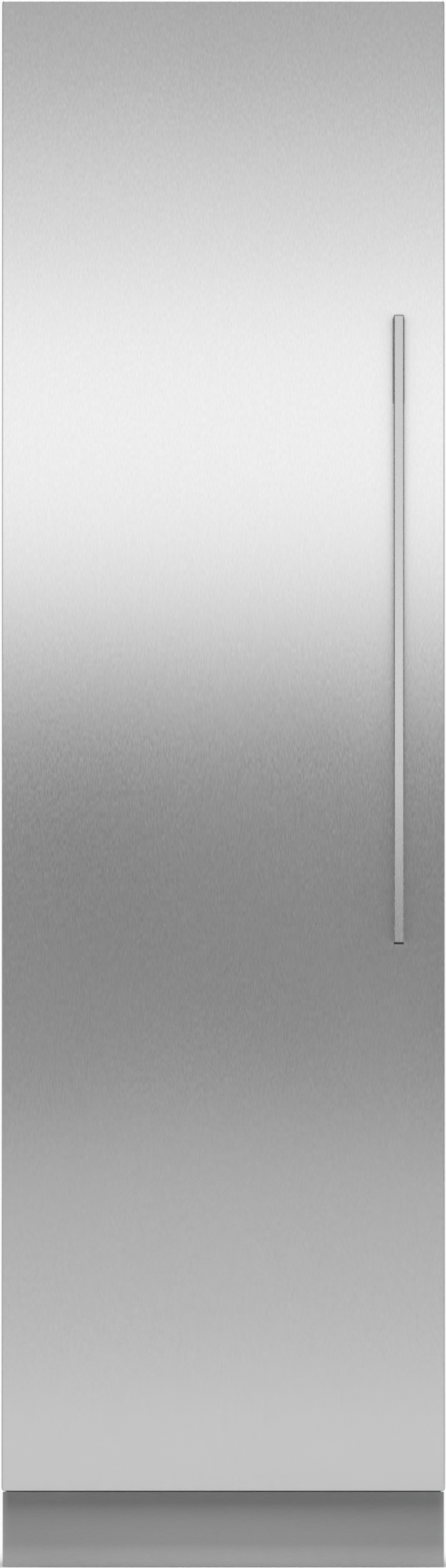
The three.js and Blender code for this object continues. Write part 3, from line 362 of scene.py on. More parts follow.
# The maker of each finish, the name of its colour, and what else its maker takes
FINISHES = {
    "door_steel": (brushed, "stainless", "upright", RIGHT, 0.235, 0.35),
    # Painted shade: darker stainless for the door's sides and underside and the bar's end
    # chamfers
    "shaded_edge_steel": (brushed, "shaded_edge_steel", "upright", RIGHT, 0.40, 0.0),
    # Painted shade: darker stainless for the toe kick under the door
    "shaded_kick_steel": (brushed, "shaded_kick_steel", "level", UP, 0.45, 0.5),
    "handle_steel": (brushed, "stainless", "upright", RIGHT, 0.26, 0.2, 0.012),
    # Painted shade: darker stainless for the handle's saddles
    "shaded_saddle_steel": (brushed, "shaded_saddle_steel", "upright", RIGHT, 0.50, 0.0),
    "trim_steel": (brushed, "stainless", "level", UP, 0.30, 0.5),
    "satin_steel": (brushed, "satin_steel", "level", UP, 0.38, 0.4),
    "aluminium": (brushed, "aluminium", "level", UP, 0.34, 0.3),
    "copper": (brushed, "copper", "round", UP, 0.30, 0.0),
    "hinge_zinc": (galvanised, "zinc", 0.006, 0.36),
    "sheet_zinc": (galvanised, "zinc", 0.022, 0.42),
    "grey_paint": (painted, "grey_paint", 0.48),
    "dark_paint": (painted, "dark_paint", 0.42),
    "white_plastic": (moulded, "white_plastic", 0.32),
    "grey_plastic": (moulded, "grey_plastic", 0.45),
    "black_plastic": (moulded, "black_plastic", 0.40),
    "control_gloss": (moulded, "black_plastic", 0.12, 0.003, 0.00001),
    "rubber": (moulded, "rubber", 0.62, 0.0006, 0.00006, 0.03),
    "rubber_black": (moulded, "black_plastic", 0.60, 0.0006, 0.00006, 0.03),
    "clear_plastic": (see_through, "clear_plastic", 0.10, 0.16, 0.85),
    "frosted_plastic": (see_through, "clear_plastic", 0.30, 0.45, 0.95),
    "shelf_glass": (see_through, "glass", 0.05, 0.14, 0.80),
    "glass_edge": (see_through, "glass_edge", 0.15, 0.75, 0.95),
    "foam": (cellular, "foam"),
    "light_lens": (glowing, "light_lens", 6.0),
    "marker_glow": (glowing, "marker_glow", 2.5),
    "floor": (studio_floor, "floor"),
}
# The finishes made so far
MADE = {}


def finish_of(name):
    """The finish of that name, made the first time it is asked for."""
    if name not in MADE:
        make, base, *values = FINISHES[name]
        MADE[name] = make(name, getattr(colours(), base), *values)
    return MADE[name]


# Shapes


def spaced(start, end, count):
    """That many values, evenly spaced from start to end."""
    return [start + (end - start) * i / (count - 1) for i in range(count)]


def sides(low, high):
    """Where a box's left and right faces are, and which way each looks."""
    return (low.x, LEFT), (high.x, RIGHT)


def rounded(low_u, low_v, high_u, high_v, radius, steps=4):
    """Points round a rectangle with rounded corners, counter-clockwise."""
    points = []
    corners = ((high_u - radius, low_v + radius, -0.25), (high_u - radius, high_v - radius, 0.0),
               (low_u + radius, high_v - radius, 0.25), (low_u + radius, low_v + radius, 0.5))
    for u, v, start in corners:
        for i in range(steps + 1):
            angle = TURN * (start + 0.25 * i / steps)
            points.append((u + radius * math.cos(angle), v + radius * math.sin(angle)))
    return points


def circle(middle, side, other, radius, steps):
    """Points round a circle, from one side on towards the other."""
    return [middle + (side * math.cos(TURN * i / steps)
                      + other * math.sin(TURN * i / steps)) * radius for i in range(steps)]


def bent(points, radius, steps=5):
    """A path through the points with its corners rounded."""
    path = [Vector(points[0])]
    for before, corner, after in zip(points, points[1:], points[2:]):
        corner = Vector(corner)
        back, ahead = Vector(before) - corner, Vector(after) - corner
        reach = min(radius, back.length * 0.49, ahead.length * 0.49)
        first, last = corner + back.normalized() * reach, corner + ahead.normalized() * reach
        for i in range(steps + 1):
            t = i / steps
            path.append(first * (1 - t) ** 2 + corner * 2 * t * (1 - t) + last * t ** 2)
    path.append(Vector(points[-1]))
    return path


class Form:
    """A mesh being built in the part's own frame, in metres."""

    def __init__(self):
        self.mesh = bmesh.new()

    def block(self, low, high, edge=0.0, steps=2):
        """A box between two corners, whose edges are rounded."""
        low, high = zip(*map(sorted, zip(low, high)))
        made = bmesh.ops.create_cube(self.mesh, size=1.0)["verts"]
        for vert in made:
            vert.co = Vector(low[i] if vert.co[i] < 0 else high[i] for i in range(3))
        if edge:
            edges = list(dict.fromkeys(e for vert in made for e in vert.link_edges))
            bmesh.ops.bevel(self.mesh, geom=edges, offset=edge, segments=steps, profile=0.5,
                            affect="EDGES", clamp_overlap=True)

    def loft(self, loops, closed=False):
        """A skin over loops of points that all have as many points."""
        rows = [[self.mesh.verts.new(point) for point in loop] for loop in loops]
        count = len(rows[0])
        pairs = list(zip(rows, rows[1:]))
        if closed:
            pairs.append((rows[-1], rows[0]))
        for first, second in pairs:
            for i in range(count):
                j = (i + 1) % count
                self.mesh.faces.new((first[i], first[j], second[j], second[i]))
        if not closed:
            self.mesh.faces.new(list(reversed(rows[0])))
            self.mesh.faces.new(rows[-1])

    def lathe(self, profile, centre, axis, steps=28):
        """Turns pairs of distance out and height along about an axis."""
        along = Vector(axis).normalized()
        side = along.orthogonal().normalized()
        self.loft([circle(Vector(centre) + along * high, side, along.cross(side),
                          max(out, TINY), steps) for out, high in profile])

    def tube(self, path, radius, steps=8):
        """A round tube along a path."""
        path = [p for i, p in enumerate(path) if i == 0 or (p - path[i - 1]).length > TINY]
        heading = (path[1] - path[0]).normalized()
        side = heading.orthogonal().normalized()
        loops = []
        for i, point in enumerate(path):
            ahead = path[min(i + 1, len(path) - 1)] - path[max(i - 1, 0)]
            turn = heading.rotation_difference(ahead.normalized())
            side = (turn @ side).normalized()
            heading = ahead.normalized()
            loops.append(circle(point, side, heading.cross(side), radius, steps))
        self.loft(loops)

    def prism(self, outline, place, low, high, edge=0.0):
        """An outline carried from low to high, its two ends drawn in by a rounded edge."""
        rows = [(low, 0.0), (high, 0.0)]
        if edge:
            rows = [(low, edge), (low + edge * 0.3, edge * 0.3), (low + edge, 0.0),
                    (high - edge, 0.0), (high - edge * 0.3, edge * 0.3), (high, edge)]
        middle_u = sum(u for u, _ in outline) / len(outline)
        middle_v = sum(v for _, v in outline) / len(outline)
        half_u = max(abs(u - middle_u) for u, _ in outline)
        half_v = max(abs(v - middle_v) for _, v in outline)
        loops = []
        for level, drawn in rows:
            loops.append([
                place(middle_u + (u - middle_u) * (1 - drawn / half_u),
                      middle_v + (v - middle_v) * (1 - drawn / half_v), level)
                for u, v in outline])
        self.loft(loops)

    def screw(self, centre, axis, radius=None, high=None):
        """A pan head with a socket."""
        radius = radius or sizes().screw_radius
        high = high or sizes().screw_high
        self.lathe([(0.0, -high * 0.2), (radius, -high * 0.2), (radius, high * 0.3),
                    (radius * 0.88, high * 0.75), (radius * 0.6, high),
                    (radius * 0.45, high), (radius * 0.42, high * 0.35),
                    (0.0, high * 0.35)], centre, axis, 14)

    def rib(self, start, end, up, wide, high):
        """A low rounded rib from start to end on a face whose normal is up."""
        start, end = Vector(start), Vector(end)
        along = (end - start).normalized()
        side = along.cross(up).normalized()
        section = [(-1.0, -0.2), (-0.75, 0.55), (-0.35, 0.92), (0.0, 1.0), (0.35, 0.92),
                   (0.75, 0.55), (1.0, -0.2)]
        ends = [(start - along * wide * 0.5, 0.25), (start, 1.0), (end, 1.0),
                (end + along * wide * 0.5, 0.25)]
        self.loft([[point + side * (u * wide / 2 * share) + Vector(up) * (v * high * share)
                    for u, v in section] for point, share in ends])

    def corner_normals(self, limit):
        """A normal for each corner of each face, which keeps wide faces flat."""
        pull = {face: face.normal * face.calc_area() ** 2 for face in self.mesh.faces}
        normals = []
        for face in self.mesh.faces:
            for loop in face.loops:
                total = sum((pull[other] for other in loop.vert.link_faces
                             if face.normal.dot(other.normal) > limit), Vector())
                normals.append(total.normalized() if total.length > 0 else face.normal.copy())
        return normals

    def second_finish(self, chosen):
        """Gives the second finish to the faces whose normal is chosen."""
        self.mesh.normal_update()
        for face in self.mesh.faces:
            face.material_index = int(chosen(face.normal))

    def floor_ribs(self, low, high, inside, level, count, wide, tall):
        """Ribs from front to back across the floor of an open box."""
        for x in spaced(low.x + inside, high.x - inside, count):
            self.rib((x, low.y + inside, level), (x, high.y - inside, level), UP, wide, tall)

    def done(self, name, finish, replaces=(), body="cabinet", second=None,
             angle=40.0):
        """The finished piece, riding on a body of the part."""
        bmesh.ops.recalc_face_normals(self.mesh, faces=self.mesh.faces)
        self.mesh.normal_update()
        normals = self.corner_normals(math.cos(math.radians(angle)))
        data = bpy.data.meshes.new(name)
        self.mesh.to_mesh(data)
        self.mesh.free()
        for entry in (finish, second) if second else (finish,):
            data.materials.append(finish_of(entry))
        data.shade_smooth()
        data.normals_split_custom_set(normals)
        piece = bpy.data.objects.new(name, data)
        bpy.context.scene.collection.objects.link(piece)
        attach(piece, body)
        if replaces:
            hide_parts(*replaces)


def plan(u, v, level):
    """A point of an outline drawn in plan, x and y."""
    return Vector((u, v, level))


def front_on(u, v, level):
    """A point of an outline drawn from the front, x and z."""
    return Vector((u, level, v))


def side_on(u, v, level):
    """A point of an outline drawn from the side, y and z."""
    return Vector((level, u, v))


def ring(low, high, inset, z, radius, steps=5):
    """A loop in plan inside a box, as far in from its sides as the inset says."""
    return [plan(x, y, z) for x, y in rounded(
        low.x + inset, low.y + inset, high.x - inset, high.y - inset, radius, steps)]


def serpentine(first, last, foot, top, rows):
    """A path to and fro between two places in plan, from foot to top."""
    path = []
    for row, z in enumerate(spaced(foot, top, rows)):
        path += [(*end, z) for end in ((last, first) if row % 2 else (first, last))]
    return bent(path, 0.012)


# Stage


# Strength of the surroundings' light, and the grey that the camera sees behind the floor
WORLD_LIGHT = 0.07
SEEN_WORLD = 0.96
# Width of the camera's sensor, in millimetres
SENSOR = 36.0
# Soft lights in front: the heights of each light's lower and upper edges, in metres, and
# its power in watts. Each group lights its own pieces.
FRONT_LIGHTS = {
    "door": ((0.0, 0.25, 0.63), (0.06, 0.63, 1.61), (1.2, 1.86, 2.6), (1.43, 2.08, 2.5),
             (1.31, 2.42, 5.5)),
    "handle": ((1.03, 2.11, 8.1),),
    "kick": ((0.4, 1.8, 13.0), (1.4, 1.8, 30.0)),
}
HANDLE = ("handle_square_bar", "bar_upper_saddle", "bar_lower_saddle", "handle_shade_pads")
KICK = ("kick_plate",)
FLOOR = ("floor",)
# Strength and heading of each even light, and the pieces that it lights or leaves out
EVEN_LIGHTS = {
    "ceiling": (3.05, (0, 0, -1), (*HANDLE, *KICK, *FLOOR), "EXCLUDE"),
    "floor_light": (3.9, (0, 0.7, -1), FLOOR, "INCLUDE"),
}
# The angle that an even light comes from, which softens its shadows
EVEN_SPREAD = math.radians(70)
# Place and power of the soft lights round the object, which leave the floor out, and the
# side of each light's square
SOFT_BOXES = {
    "left": ((-3.6, 2.6, 1.7), 45.0),
    "right": ((3.6, 2.6, 1.7), 45.0),
    "behind": ((0.4, 4.4, 1.8), 40.0),
}
SOFT_BOX_SIZE = 3.0


class REFRIGERATOR_OT_stage(Operator):
    """Makes the camera, the surroundings, the floor and the soft lights"""

    bl_idname = "refrigerator.stage"
    bl_label = "Studio stage"

    def execute(self, context):
        context.scene.view_settings.view_transform = "Standard"
        self.add_camera()
        self.add_world()
        self.add_floor()
        for name, (strength, heading, pieces, state) in EVEN_LIGHTS.items():
            light = self.add_light(name, "SUN", (0, 0, 0), heading, energy=strength,
                                   angle=EVEN_SPREAD)
            self.link_lights([light], name, pieces, state)
        for name, (place, power) in SOFT_BOXES.items():
            light = self.add_panel(name, place, (-place[0], -place[1], 0), SOFT_BOX_SIZE,
                                   SOFT_BOX_SIZE, power)
            self.link_lights([light], name, FLOOR, "EXCLUDE")
        size = sizes()
        for name, wide, pieces, state in (
                ("door", size.light_wide, (*HANDLE, *KICK, *FLOOR), "EXCLUDE"),
                ("handle", size.light_wide, HANDLE, "INCLUDE"),
                ("kick", size.kick_light_wide, KICK, "INCLUDE")):
            lights = [self.add_panel(
                f"{name}_light_{i + 1}",
                (0.0, -size.light_distance - size.light_gap * i, (low + high) / 2), BACK,
                wide, high - low, power)
                for i, (low, high, power) in enumerate(FRONT_LIGHTS[name])]
            self.link_lights(lights, name, pieces, state)
        return {"FINISHED"}

    def add(self, name, data, place, heading):
        """A camera or light at a place, looking along a heading."""
        made = bpy.data.objects.new(name, data)
        made.location = place
        made.rotation_mode = "QUATERNION"
        made.rotation_quaternion = Vector(heading).to_track_quat("-Z", "Y")
        bpy.context.scene.collection.objects.link(made)
        return made

    def add_camera(self):
        size = sizes()
        door_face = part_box("door_panel")[0].y
        place = Vector((-size.view_side, door_face - size.camera_distance,
                        size.camera_height))
        sight = Vector((-size.view_side, door_face, size.view_middle)) - place
        data = bpy.data.cameras.new("camera")
        data.sensor_width = SENSOR
        data.lens = SENSOR * sight.length ** 2 / (size.view_height * size.camera_distance)
        data.clip_end = size.camera_distance * 5
        bpy.context.scene.camera = self.add("camera", data, place, sight)

    def add_world(self):
        """Dim surroundings, which the camera sees as white."""
        world = bpy.data.worlds.new("studio")
        world.use_nodes = True
        nodes, links = world.node_tree.nodes, world.node_tree.links
        nodes.clear()
        mix = nodes.new("ShaderNodeMixShader")
        links.new(nodes.new("ShaderNodeLightPath").outputs["Is Camera Ray"], mix.inputs["Fac"])
        for entry, grey, strength in ((1, 1, WORLD_LIGHT), (2, SEEN_WORLD, 1)):
            light = nodes.new("ShaderNodeBackground")
            light.inputs["Color"].default_value = (grey, grey, grey, 1)
            light.inputs["Strength"].default_value = strength
            links.new(light.outputs["Background"], mix.inputs[entry])
        out = nodes.new("ShaderNodeOutputWorld")
        links.new(mix.outputs["Shader"], out.inputs["Surface"])
        bpy.context.scene.world = world

    def add_light(self, name, kind, place, heading, **settings):
        data = bpy.data.lights.new(name, kind)
        for key, value in settings.items():
            setattr(data, key, value)
        light = self.add(name, data, place, heading)
        light.visible_camera = False
        return light

    def add_panel(self, name, place, heading, wide, high, power):
        return self.add_light(name, "AREA", place, heading, shape="RECTANGLE", size=wide,
                              size_y=high, energy=power)

    def link_lights(self, lights, name, pieces, state):
        """Says which pieces the lights shine on, or which they leave out."""
        group = bpy.data.collections.new(f"{name}_light_pieces")
        for entry, piece in enumerate(pieces):
            group.objects.link(bpy.data.objects[piece])
            group.collection_objects[entry].light_linking.link_state = state
        for light in lights:
            light.light_linking.receiver_collection = group

    def add_floor(self):
        half, level = sizes().floor_half, -sizes().floor_gap
        data = bpy.data.meshes.new("floor")
        data.from_pydata([(x * half, y * half, level) for x, y in (
            (-1, -1), (1, -1), (1, 1), (-1, 1))], [], [(0, 1, 2, 3)])
        data.materials.append(finish_of("floor"))
        floor = bpy.data.objects.new("floor", data)
        bpy.context.scene.collection.objects.link(floor)


# The nodes that wear each finish; any other node wears satin steel
CAD_FINISHES = {
    "grey_paint": ("cabinet_shell", "door_case"),
    "satin_steel": ("front_frame",),
    "foam": ("insulation", "door_insulation"),
    "white_plastic": ("inner_liner", "evaporator_cover", "door_liner",
                      "lower_drawer_housing", "upper_drawer_housing"),
    "sheet_zinc": ("back_panel",),
    "dark_paint": ("base_frame", "vent_grille", "compressor", "condenser"),
    "grey_plastic": ("panel_core", "board_box", "left_rear_roller", "right_rear_roller"),
    "black_plastic": ("fan_shroud", "condenser_fan", "drip_tray", "control_panel"),
    "aluminium": ("evaporator_coil",),
    "hinge_zinc": (
        "left_levelling_foot", "right_levelling_foot", "lower_drawer_rails",
        "upper_drawer_rails", "upper_hinge_cabinet_bracket", "lower_hinge_cabinet_bracket",
        "upper_hinge_door_bracket", "lower_hinge_door_bracket", "upper_hinge_main_arm",
        "lower_hinge_main_arm", "upper_hinge_control_arm", "lower_hinge_control_arm"),
}


class REFRIGERATOR_OT_finishes(Operator):
    """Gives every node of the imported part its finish"""

    bl_idname = "refrigerator.finishes"
    bl_label = "Finishes of the packed part"

    def execute(self, context):
        named = {node: finish for finish, nodes in CAD_FINISHES.items() for node in nodes}
        for node, piece in frame["nodes"].items():
            finish = finish_of(named.get(node, "satin_steel"))
            for entry in piece.material_slots:
                entry.material = finish
        return {"FINISHED"}


# Door


class REFRIGERATOR_OT_door_skin(Operator):
    """Makes the door's brushed front with rolled edges and rounded corners"""

    bl_idname = "refrigerator.door_skin"
    bl_label = "Door front"

    def execute(self, context):
        low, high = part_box("door_panel")
        edge, corner, steps = sizes().skin_edge, sizes().skin_corner, 5
        sheet = 0.0017
        rows = [(low.y + sheet, sheet), (high.y, sheet), (high.y, 0.0)]
        for i in range(steps + 1):
            angle = TURN / 4 * i / steps
            rows.append((low.y + edge * (1 - math.sin(angle)), edge * (1 - math.cos(angle))))
        form = Form()
        form.loft([[front_on(x, z, y) for x, z in rounded(
            low.x + inset, low.z + inset, high.x - inset, high.z - inset, corner - inset, 5)]
            for y, inset in rows])
        # The sides and underside wear the darker steel, which paints the shade there
        form.second_finish(lambda normal: abs(normal.x) > 0.3 or normal.z < -0.3)
        form.done("door_skin", "door_steel", ["door_panel"], "door", second="shaded_edge_steel")
        return {"FINISHED"}


class REFRIGERATOR_OT_handle(Operator):
    """Makes the handle's bar, its two saddles and their dark seating pads, which also paint the
    shade round the saddles' feet and under the bar's lower end
    """

    bl_idname = "refrigerator.handle"
    bl_label = "Handle"

    def execute(self, context):
        edge = sizes().handle_edge
        bar_low, bar_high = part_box("handle_bar")
        bar = Form()
        bar.block(bar_low, bar_high, edge, 1)
        # The bar's end chamfers wear the darker steel, which paints the shade there
        bar.second_finish(lambda normal: 0.3 < abs(normal.z) < 0.95)
        bar.done("handle_square_bar", "handle_steel", ["handle_bar"], "door",
                 second="shaded_edge_steel")
        pads = Form()
        pad_thick, pad_rim, pad_sunk = 0.0012, 0.0004, 0.0003
        saddle_edge, end_share = edge * 0.7, 0.16
        screw_radius, screw_high = edge * 1.6, edge * 0.2
        # How far each saddle's top is under the bar's, and how far its pad hangs down to paint
        # the shade under the bar's lower end
        for name, bar_gap, drop in (("upper", 0.0022, 0.0), ("lower", None, 0.0026)):
            low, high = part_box(f"handle_{name}_saddle")
            if bar_gap:
                high.z = bar_high.z - bar_gap
            saddle = Form()
            saddle.block(low, high, saddle_edge, 3)
            inset = (high.z - low.z) * end_share
            for z in (low.z + inset, high.z - inset):
                saddle.screw((high.x, (low.y + high.y) / 2, z), RIGHT, screw_radius, screw_high)
            # The saddle wears the darker steel, which paints its shade behind the bar
            saddle.done(f"bar_{name}_saddle", "shaded_saddle_steel", [f"handle_{name}_saddle"], "door")
            # Painted shade: each dark pad shows as a thin rim round its saddle's foot
            pads.block((low.x - pad_rim, high.y - pad_thick, low.z - pad_rim - drop),
                       (high.x + pad_rim, high.y + pad_sunk, high.z), pad_thick * 0.3)
        pads.done("handle_shade_pads", "rubber_black", body="door")
        return {"FINISHED"}


class REFRIGERATOR_OT_door_case(Operator):
    """Makes the door case's clamps, screws and foam plugs"""

    bl_idname = "refrigerator.door_case"
    bl_label = "Door case details"

    def execute(self, context):
        low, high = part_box("door_case")
        middle = (low + high) / 2
        half_wide, half_high, thick, clamps = 0.015, 0.026, 0.0014, 6
        form = Form()
        for side, axis in sides(low, high):
            face = side + axis.x * thick
            for i in range(clamps):
                z = low.z + (high.z - low.z) * (i + 0.5) / clamps
                form.block((side, middle.y - half_wide, z - half_high),
                           (face, middle.y + half_wide, z + half_high), thick * 0.4)
                for lift in (-0.6, 0.6):
                    form.screw((face, middle.y, z + half_high * lift), axis)
        form.done("door_clamps", "hinge_zinc", body="door")

        plugs = Form()
        for z, axis in ((low.z, DOWN), (high.z, UP)):
            for x in (-high.x / 2, high.x / 2):
                plugs.lathe([(0.0, -0.001), (0.010, -0.001), (0.010, 0.0008),
                             (0.008, 0.0016), (0.0, 0.0018)], (x, middle.y, z), axis)
        plugs.done("door_foam_plugs", "grey_plastic", body="door")
        return {"FINISHED"}


class REFRIGERATOR_OT_gasket(Operator):
    """Makes the door's folded gasket with its magnetic face"""

    bl_idname = "refrigerator.gasket"
    bl_label = "Door gasket"

    def execute(self, context):
        low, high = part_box("door_gasket")
        wide, deep = 0.0220, high.y - low.y
        # Pairs of distance in from the gasket's outer edge and share of its depth
        section = [
            (0.10, 0.00), (0.10, 0.18), (0.02, 0.26), (0.00, 0.40), (0.05, 0.52),
            (0.16, 0.56), (0.03, 0.66), (0.00, 0.80), (0.04, 0.94), (0.12, 1.00),
            (0.60, 1.00), (0.66, 0.92), (0.66, 0.66), (0.78, 0.58), (0.92, 0.66),
            (1.00, 0.50), (0.94, 0.34), (0.84, 0.26), (0.84, 0.00)]
        loops = []
        for share, depth in section:
            inset, y = share * wide, low.y + depth * deep
            left, right, foot, top = (low.x + inset, high.x - inset, low.z + inset,
                                      high.z - inset)
            loops.append([(left, y, foot), (right, y, foot), (right, y, top), (left, y, top)])
        form = Form()
        form.loft(loops, closed=True)
        form.done("folded_gasket", "rubber", ["door_gasket"], "door")
        return {"FINISHED"}


class REFRIGERATOR_OT_door_bins(Operator):
    """Makes the four door bins, with their trims and ribs"""

    bl_idname = "refrigerator.door_bins"
    bl_label = "Door bins"

    def execute(self, context):
        for number in (1, 2, 3, 4):
            self.add_bin(f"bin_{number}", *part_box(f"door_bin_{number}"))
        return {"FINISHED"}

    def add_bin(self, name, low, high):
        radius, wall, draft = sizes().bin_corner, 0.0026, 0.004
        rim_drop, foot_edge, rise_run = 0.026, 0.005, 0.030

        def rim(inset, drop=0.0):
            """The top edge: full height at the room's side, lower at the door's side."""
            loop = ring(low, high, inset, high.z, radius - inset)
            for point in loop:
                share = min(max((point.y - (high.y - rise_run - radius)) / rise_run, 0.0), 1.0)
                share = share * share * (3 - 2 * share)
                point.z = high.z - drop - rim_drop * (1 - share)
            return loop

        def level(inset, rise, corner):
            return ring(low, high, inset, low.z + rise, max(corner - inset, TINY))

        foot, rim_edge, rib_gap, ribs, rib_wide, rib_high = (
            draft + foot_edge, 0.0008, 0.006, 9, 0.0035, 0.0010)
        tub = Form()
        tub.loft([
            level(foot, 0.0, radius + foot_edge),
            level(draft + foot_edge * 0.3, foot_edge * 0.3, radius + foot_edge),
            level(draft, foot_edge, radius + draft),
            rim(0.0, 0.004), rim(0.0, 0.001), rim(rim_edge), rim(wall - 0.0006),
            rim(wall, 0.001), level(draft + wall, foot_edge + wall, radius + draft),
            level(foot + wall, wall, radius + foot_edge)])
        tub.floor_ribs(low, high, foot + wall + rib_gap, low.z + wall, ribs, rib_wide,
                       rib_high)
        tub.done(name.replace("_", "_tub_"), "clear_plastic", [f"door_{name}"], name)

        trim = Form()
        tall, thick, drop, inset, edge = 0.014, 0.0016, 0.003, 0.016, 0.0006
        face = high.y - 0.0002
        trim.block((low.x + inset, face - thick, high.z - tall - drop),
                   (high.x - inset, face, high.z - drop), edge)
        trim.done(name.replace("_", "_trim_"), "aluminium", body=name)


class REFRIGERATOR_OT_door_liner(Operator):
    """Makes the door liner's moulded ribs"""

    bl_idname = "refrigerator.door_liner"
    bl_label = "Door liner details"

    def execute(self, context):
        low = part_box("door_liner")[0]
        bins = [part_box(f"door_bin_{number}") for number in (1, 2, 3, 4)]
        y = bins[0][0].y - 0.0003
        room_top, rib_wide = 2.006, 0.010
        ends = [box[0].z for box in bins[1:]] + [room_top]
        # Spacing, number, foot and top of each row of ribs, the last one under the bins
        rows = [(0.078, 5, box[1].z + 0.030, end - 0.035) for box, end in zip(bins, ends)]
        rows.append((0.066, 7, low.z + 0.070, bins[0][0].z - 0.060))
        rib_high = sizes().rib_high
        form = Form()
        for pitch, count, foot, top in rows:
            for i in range(count):
                x = (i - count // 2) * pitch
                form.rib((x, y, foot), (x, y, top), BACK, rib_wide, rib_high)
        form.done("door_liner_ribs", "white_plastic", body="door")
        return {"FINISHED"}


class REFRIGERATOR_OT_kick_plate(Operator):
    """Makes the brushed toe kick under the door, down to the floor"""

    bl_idname = "refrigerator.kick_plate"
    bl_label = "Toe kick"

    def execute(self, context):
        low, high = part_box("toe_kick")
        wider, taller, foot, edge = 0.0007, 0.0008, 0.0001, 0.0004
        form = Form()
        form.block((low.x - wider, low.y, foot), (high.x + wider, high.y, high.z + taller),
                   edge)
        # The toe kick wears the darker steel, which paints the shade under the door
        form.done("kick_plate", "shaded_kick_steel", ["toe_kick"])
        return {"FINISHED"}


# Cabinet


class REFRIGERATOR_OT_case(Operator):
    """Makes the cabinet's folded edges, screws, foam plugs and top brackets"""

    bl_idname = "refrigerator.case"
    bl_label = "Cabinet case details"

    def execute(self, context):
        low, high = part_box("cabinet_shell")
        wide, thick, edge, front_gap, top_gap = 0.012, 0.0016, 0.0006, 0.0001, 0.110
        form = Form()
        # The case is 4.5 mm narrower than the door panel, so a hem stays inside its width
        for side, axis in sides(low, high):
            for y in (low.y + front_gap, high.y - wide):
                form.block((side, y, low.z + wide),
                           (side + axis.x * thick, y + wide, high.z - wide), edge)
        for y in (low.y + top_gap, high.y - wide):
            form.block((low.x + wide, y, high.z), (high.x - wide, y + wide, high.z + thick),
                       edge)
        form.done("case_hems", "grey_paint")

        screws = Form()
        end_gap, back_gap, front_gap, foot_gaps = 0.10, 0.030, 0.060, (0.030, 0.155)
        for side, axis in sides(low, high):
            for z in spaced(low.z + end_gap, high.z - end_gap, 7):
                screws.screw((side, high.y - back_gap, z), axis)
            for gap in foot_gaps:
                screws.screw((side, low.y + front_gap, low.z + gap), axis)
        screws.done("case_screws", "hinge_zinc")

        plugs = Form()
        side_share, back_gap = 0.55, 0.09
        for x in (low.x * side_share, high.x * side_share):
            plugs.lathe([(0.0, -0.001), (0.016, -0.001), (0.016, 0.0006), (0.0145, 0.0014),
                         (0.011, 0.0016), (0.010, 0.0008), (0.0, 0.0008)],
                        (x, high.y - back_gap, high.z), UP)
        plugs.done("case_foam_plugs", "grey_plastic")

        tabs = Form()
        wide, rise, thick, edge, pitch = 0.035, 0.030, 0.002, 0.0006, 0.21
        front = high.y - 0.050
        back = front + wide
        for x in (-pitch, 0.0, pitch):
            left, right = x - wide / 2, x + wide / 2
            tabs.block((left, front, high.z), (right, back, high.z + thick), edge)
            tabs.block((left, back - thick, high.z), (right, back, high.z + rise), edge)
            tabs.screw((x, front + wide * 0.4, high.z + thick), UP)
        tabs.done("top_fixing_tabs", "hinge_zinc")
        return {"FINISHED"}


class REFRIGERATOR_OT_back(Operator):
    """Makes the pressed back sheet with its beads and screws"""

    bl_idname = "refrigerator.back"
    bl_label = "Back sheet"

    def execute(self, context):
        low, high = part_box("back_panel")
        raised_share, beads, wide, edge = 0.55, 5, 0.030, 0.0002
        margin, bead_end, cross_end = 0.055, 0.14, 0.06
        face = high.y - (high.y - low.y) * raised_share
        raised = high.y - face
        form = Form()
        form.block(low, (high.x, face, high.z), edge, 1)
        for i in range(beads):
            x = low.x + margin + (high.x - low.x - 2 * margin) * (i + 0.5) / beads
            form.rib((x, face, low.z + bead_end), (x, face, high.z - bead_end), BACK, wide,
                     raised)
        for z in (low.z + cross_end, high.z - cross_end):
            form.rib((low.x + margin, face, z), (high.x - margin, face, z), BACK, wide, raised)
        form.done("pressed_back_sheet", "sheet_zinc", ["back_panel"])

        screws = Form()
        inset, sunk = 0.012, 0.0001
        across = spaced(low.x + inset, high.x - inset, 5)
        upwards = spaced(low.z + inset, high.z - inset, 9)
        places = [(x, z) for z in upwards for x in (across[0], across[-1])]
        places += [(x, z) for x in across[1:-1] for z in (upwards[0], upwards[-1])]
        for x, z in places:
            screws.screw((x, face, z), BACK, None, raised - sunk)
        screws.done("back_screws", "hinge_zinc")
        return {"FINISHED"}


class REFRIGERATOR_OT_grille(Operator):
    """Makes the louvres and screws of the vent grille"""

    bl_idname = "refrigerator.grille"
    bl_label = "Vent grille details"

    def execute(self, context):
        low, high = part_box("vent_grille")
        deep, blade, rows, first = sizes().louvre_deep, 0.0012, 11, low.z + 0.030
        front, rise = low.y - deep, deep * 0.7
        form = Form()
        for row in range(rows):
            z = first + row * (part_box("board_box")[0].z - first) / rows
            outline = [(low.y, z), (low.y, z - blade), (front, z + rise - blade),
                       (front, z + rise)]
            for start, end in ((-0.2305, -0.0300), (0.0300, 0.2305)):
                form.prism(outline, side_on, start, end)
        form.done("grille_louvres", "dark_paint")

        screws = Form()
        side_gap, end_gap, sunk, head = 0.012, 0.014, 0.0012, 0.0011
        for x in (low.x + side_gap, high.x - side_gap):
            for z in spaced(low.z + end_gap, high.z - end_gap, 3):
                screws.screw((x, high.y - sunk, z), BACK, None, head)
        screws.done("grille_screws", "hinge_zinc")
        return {"FINISHED"}


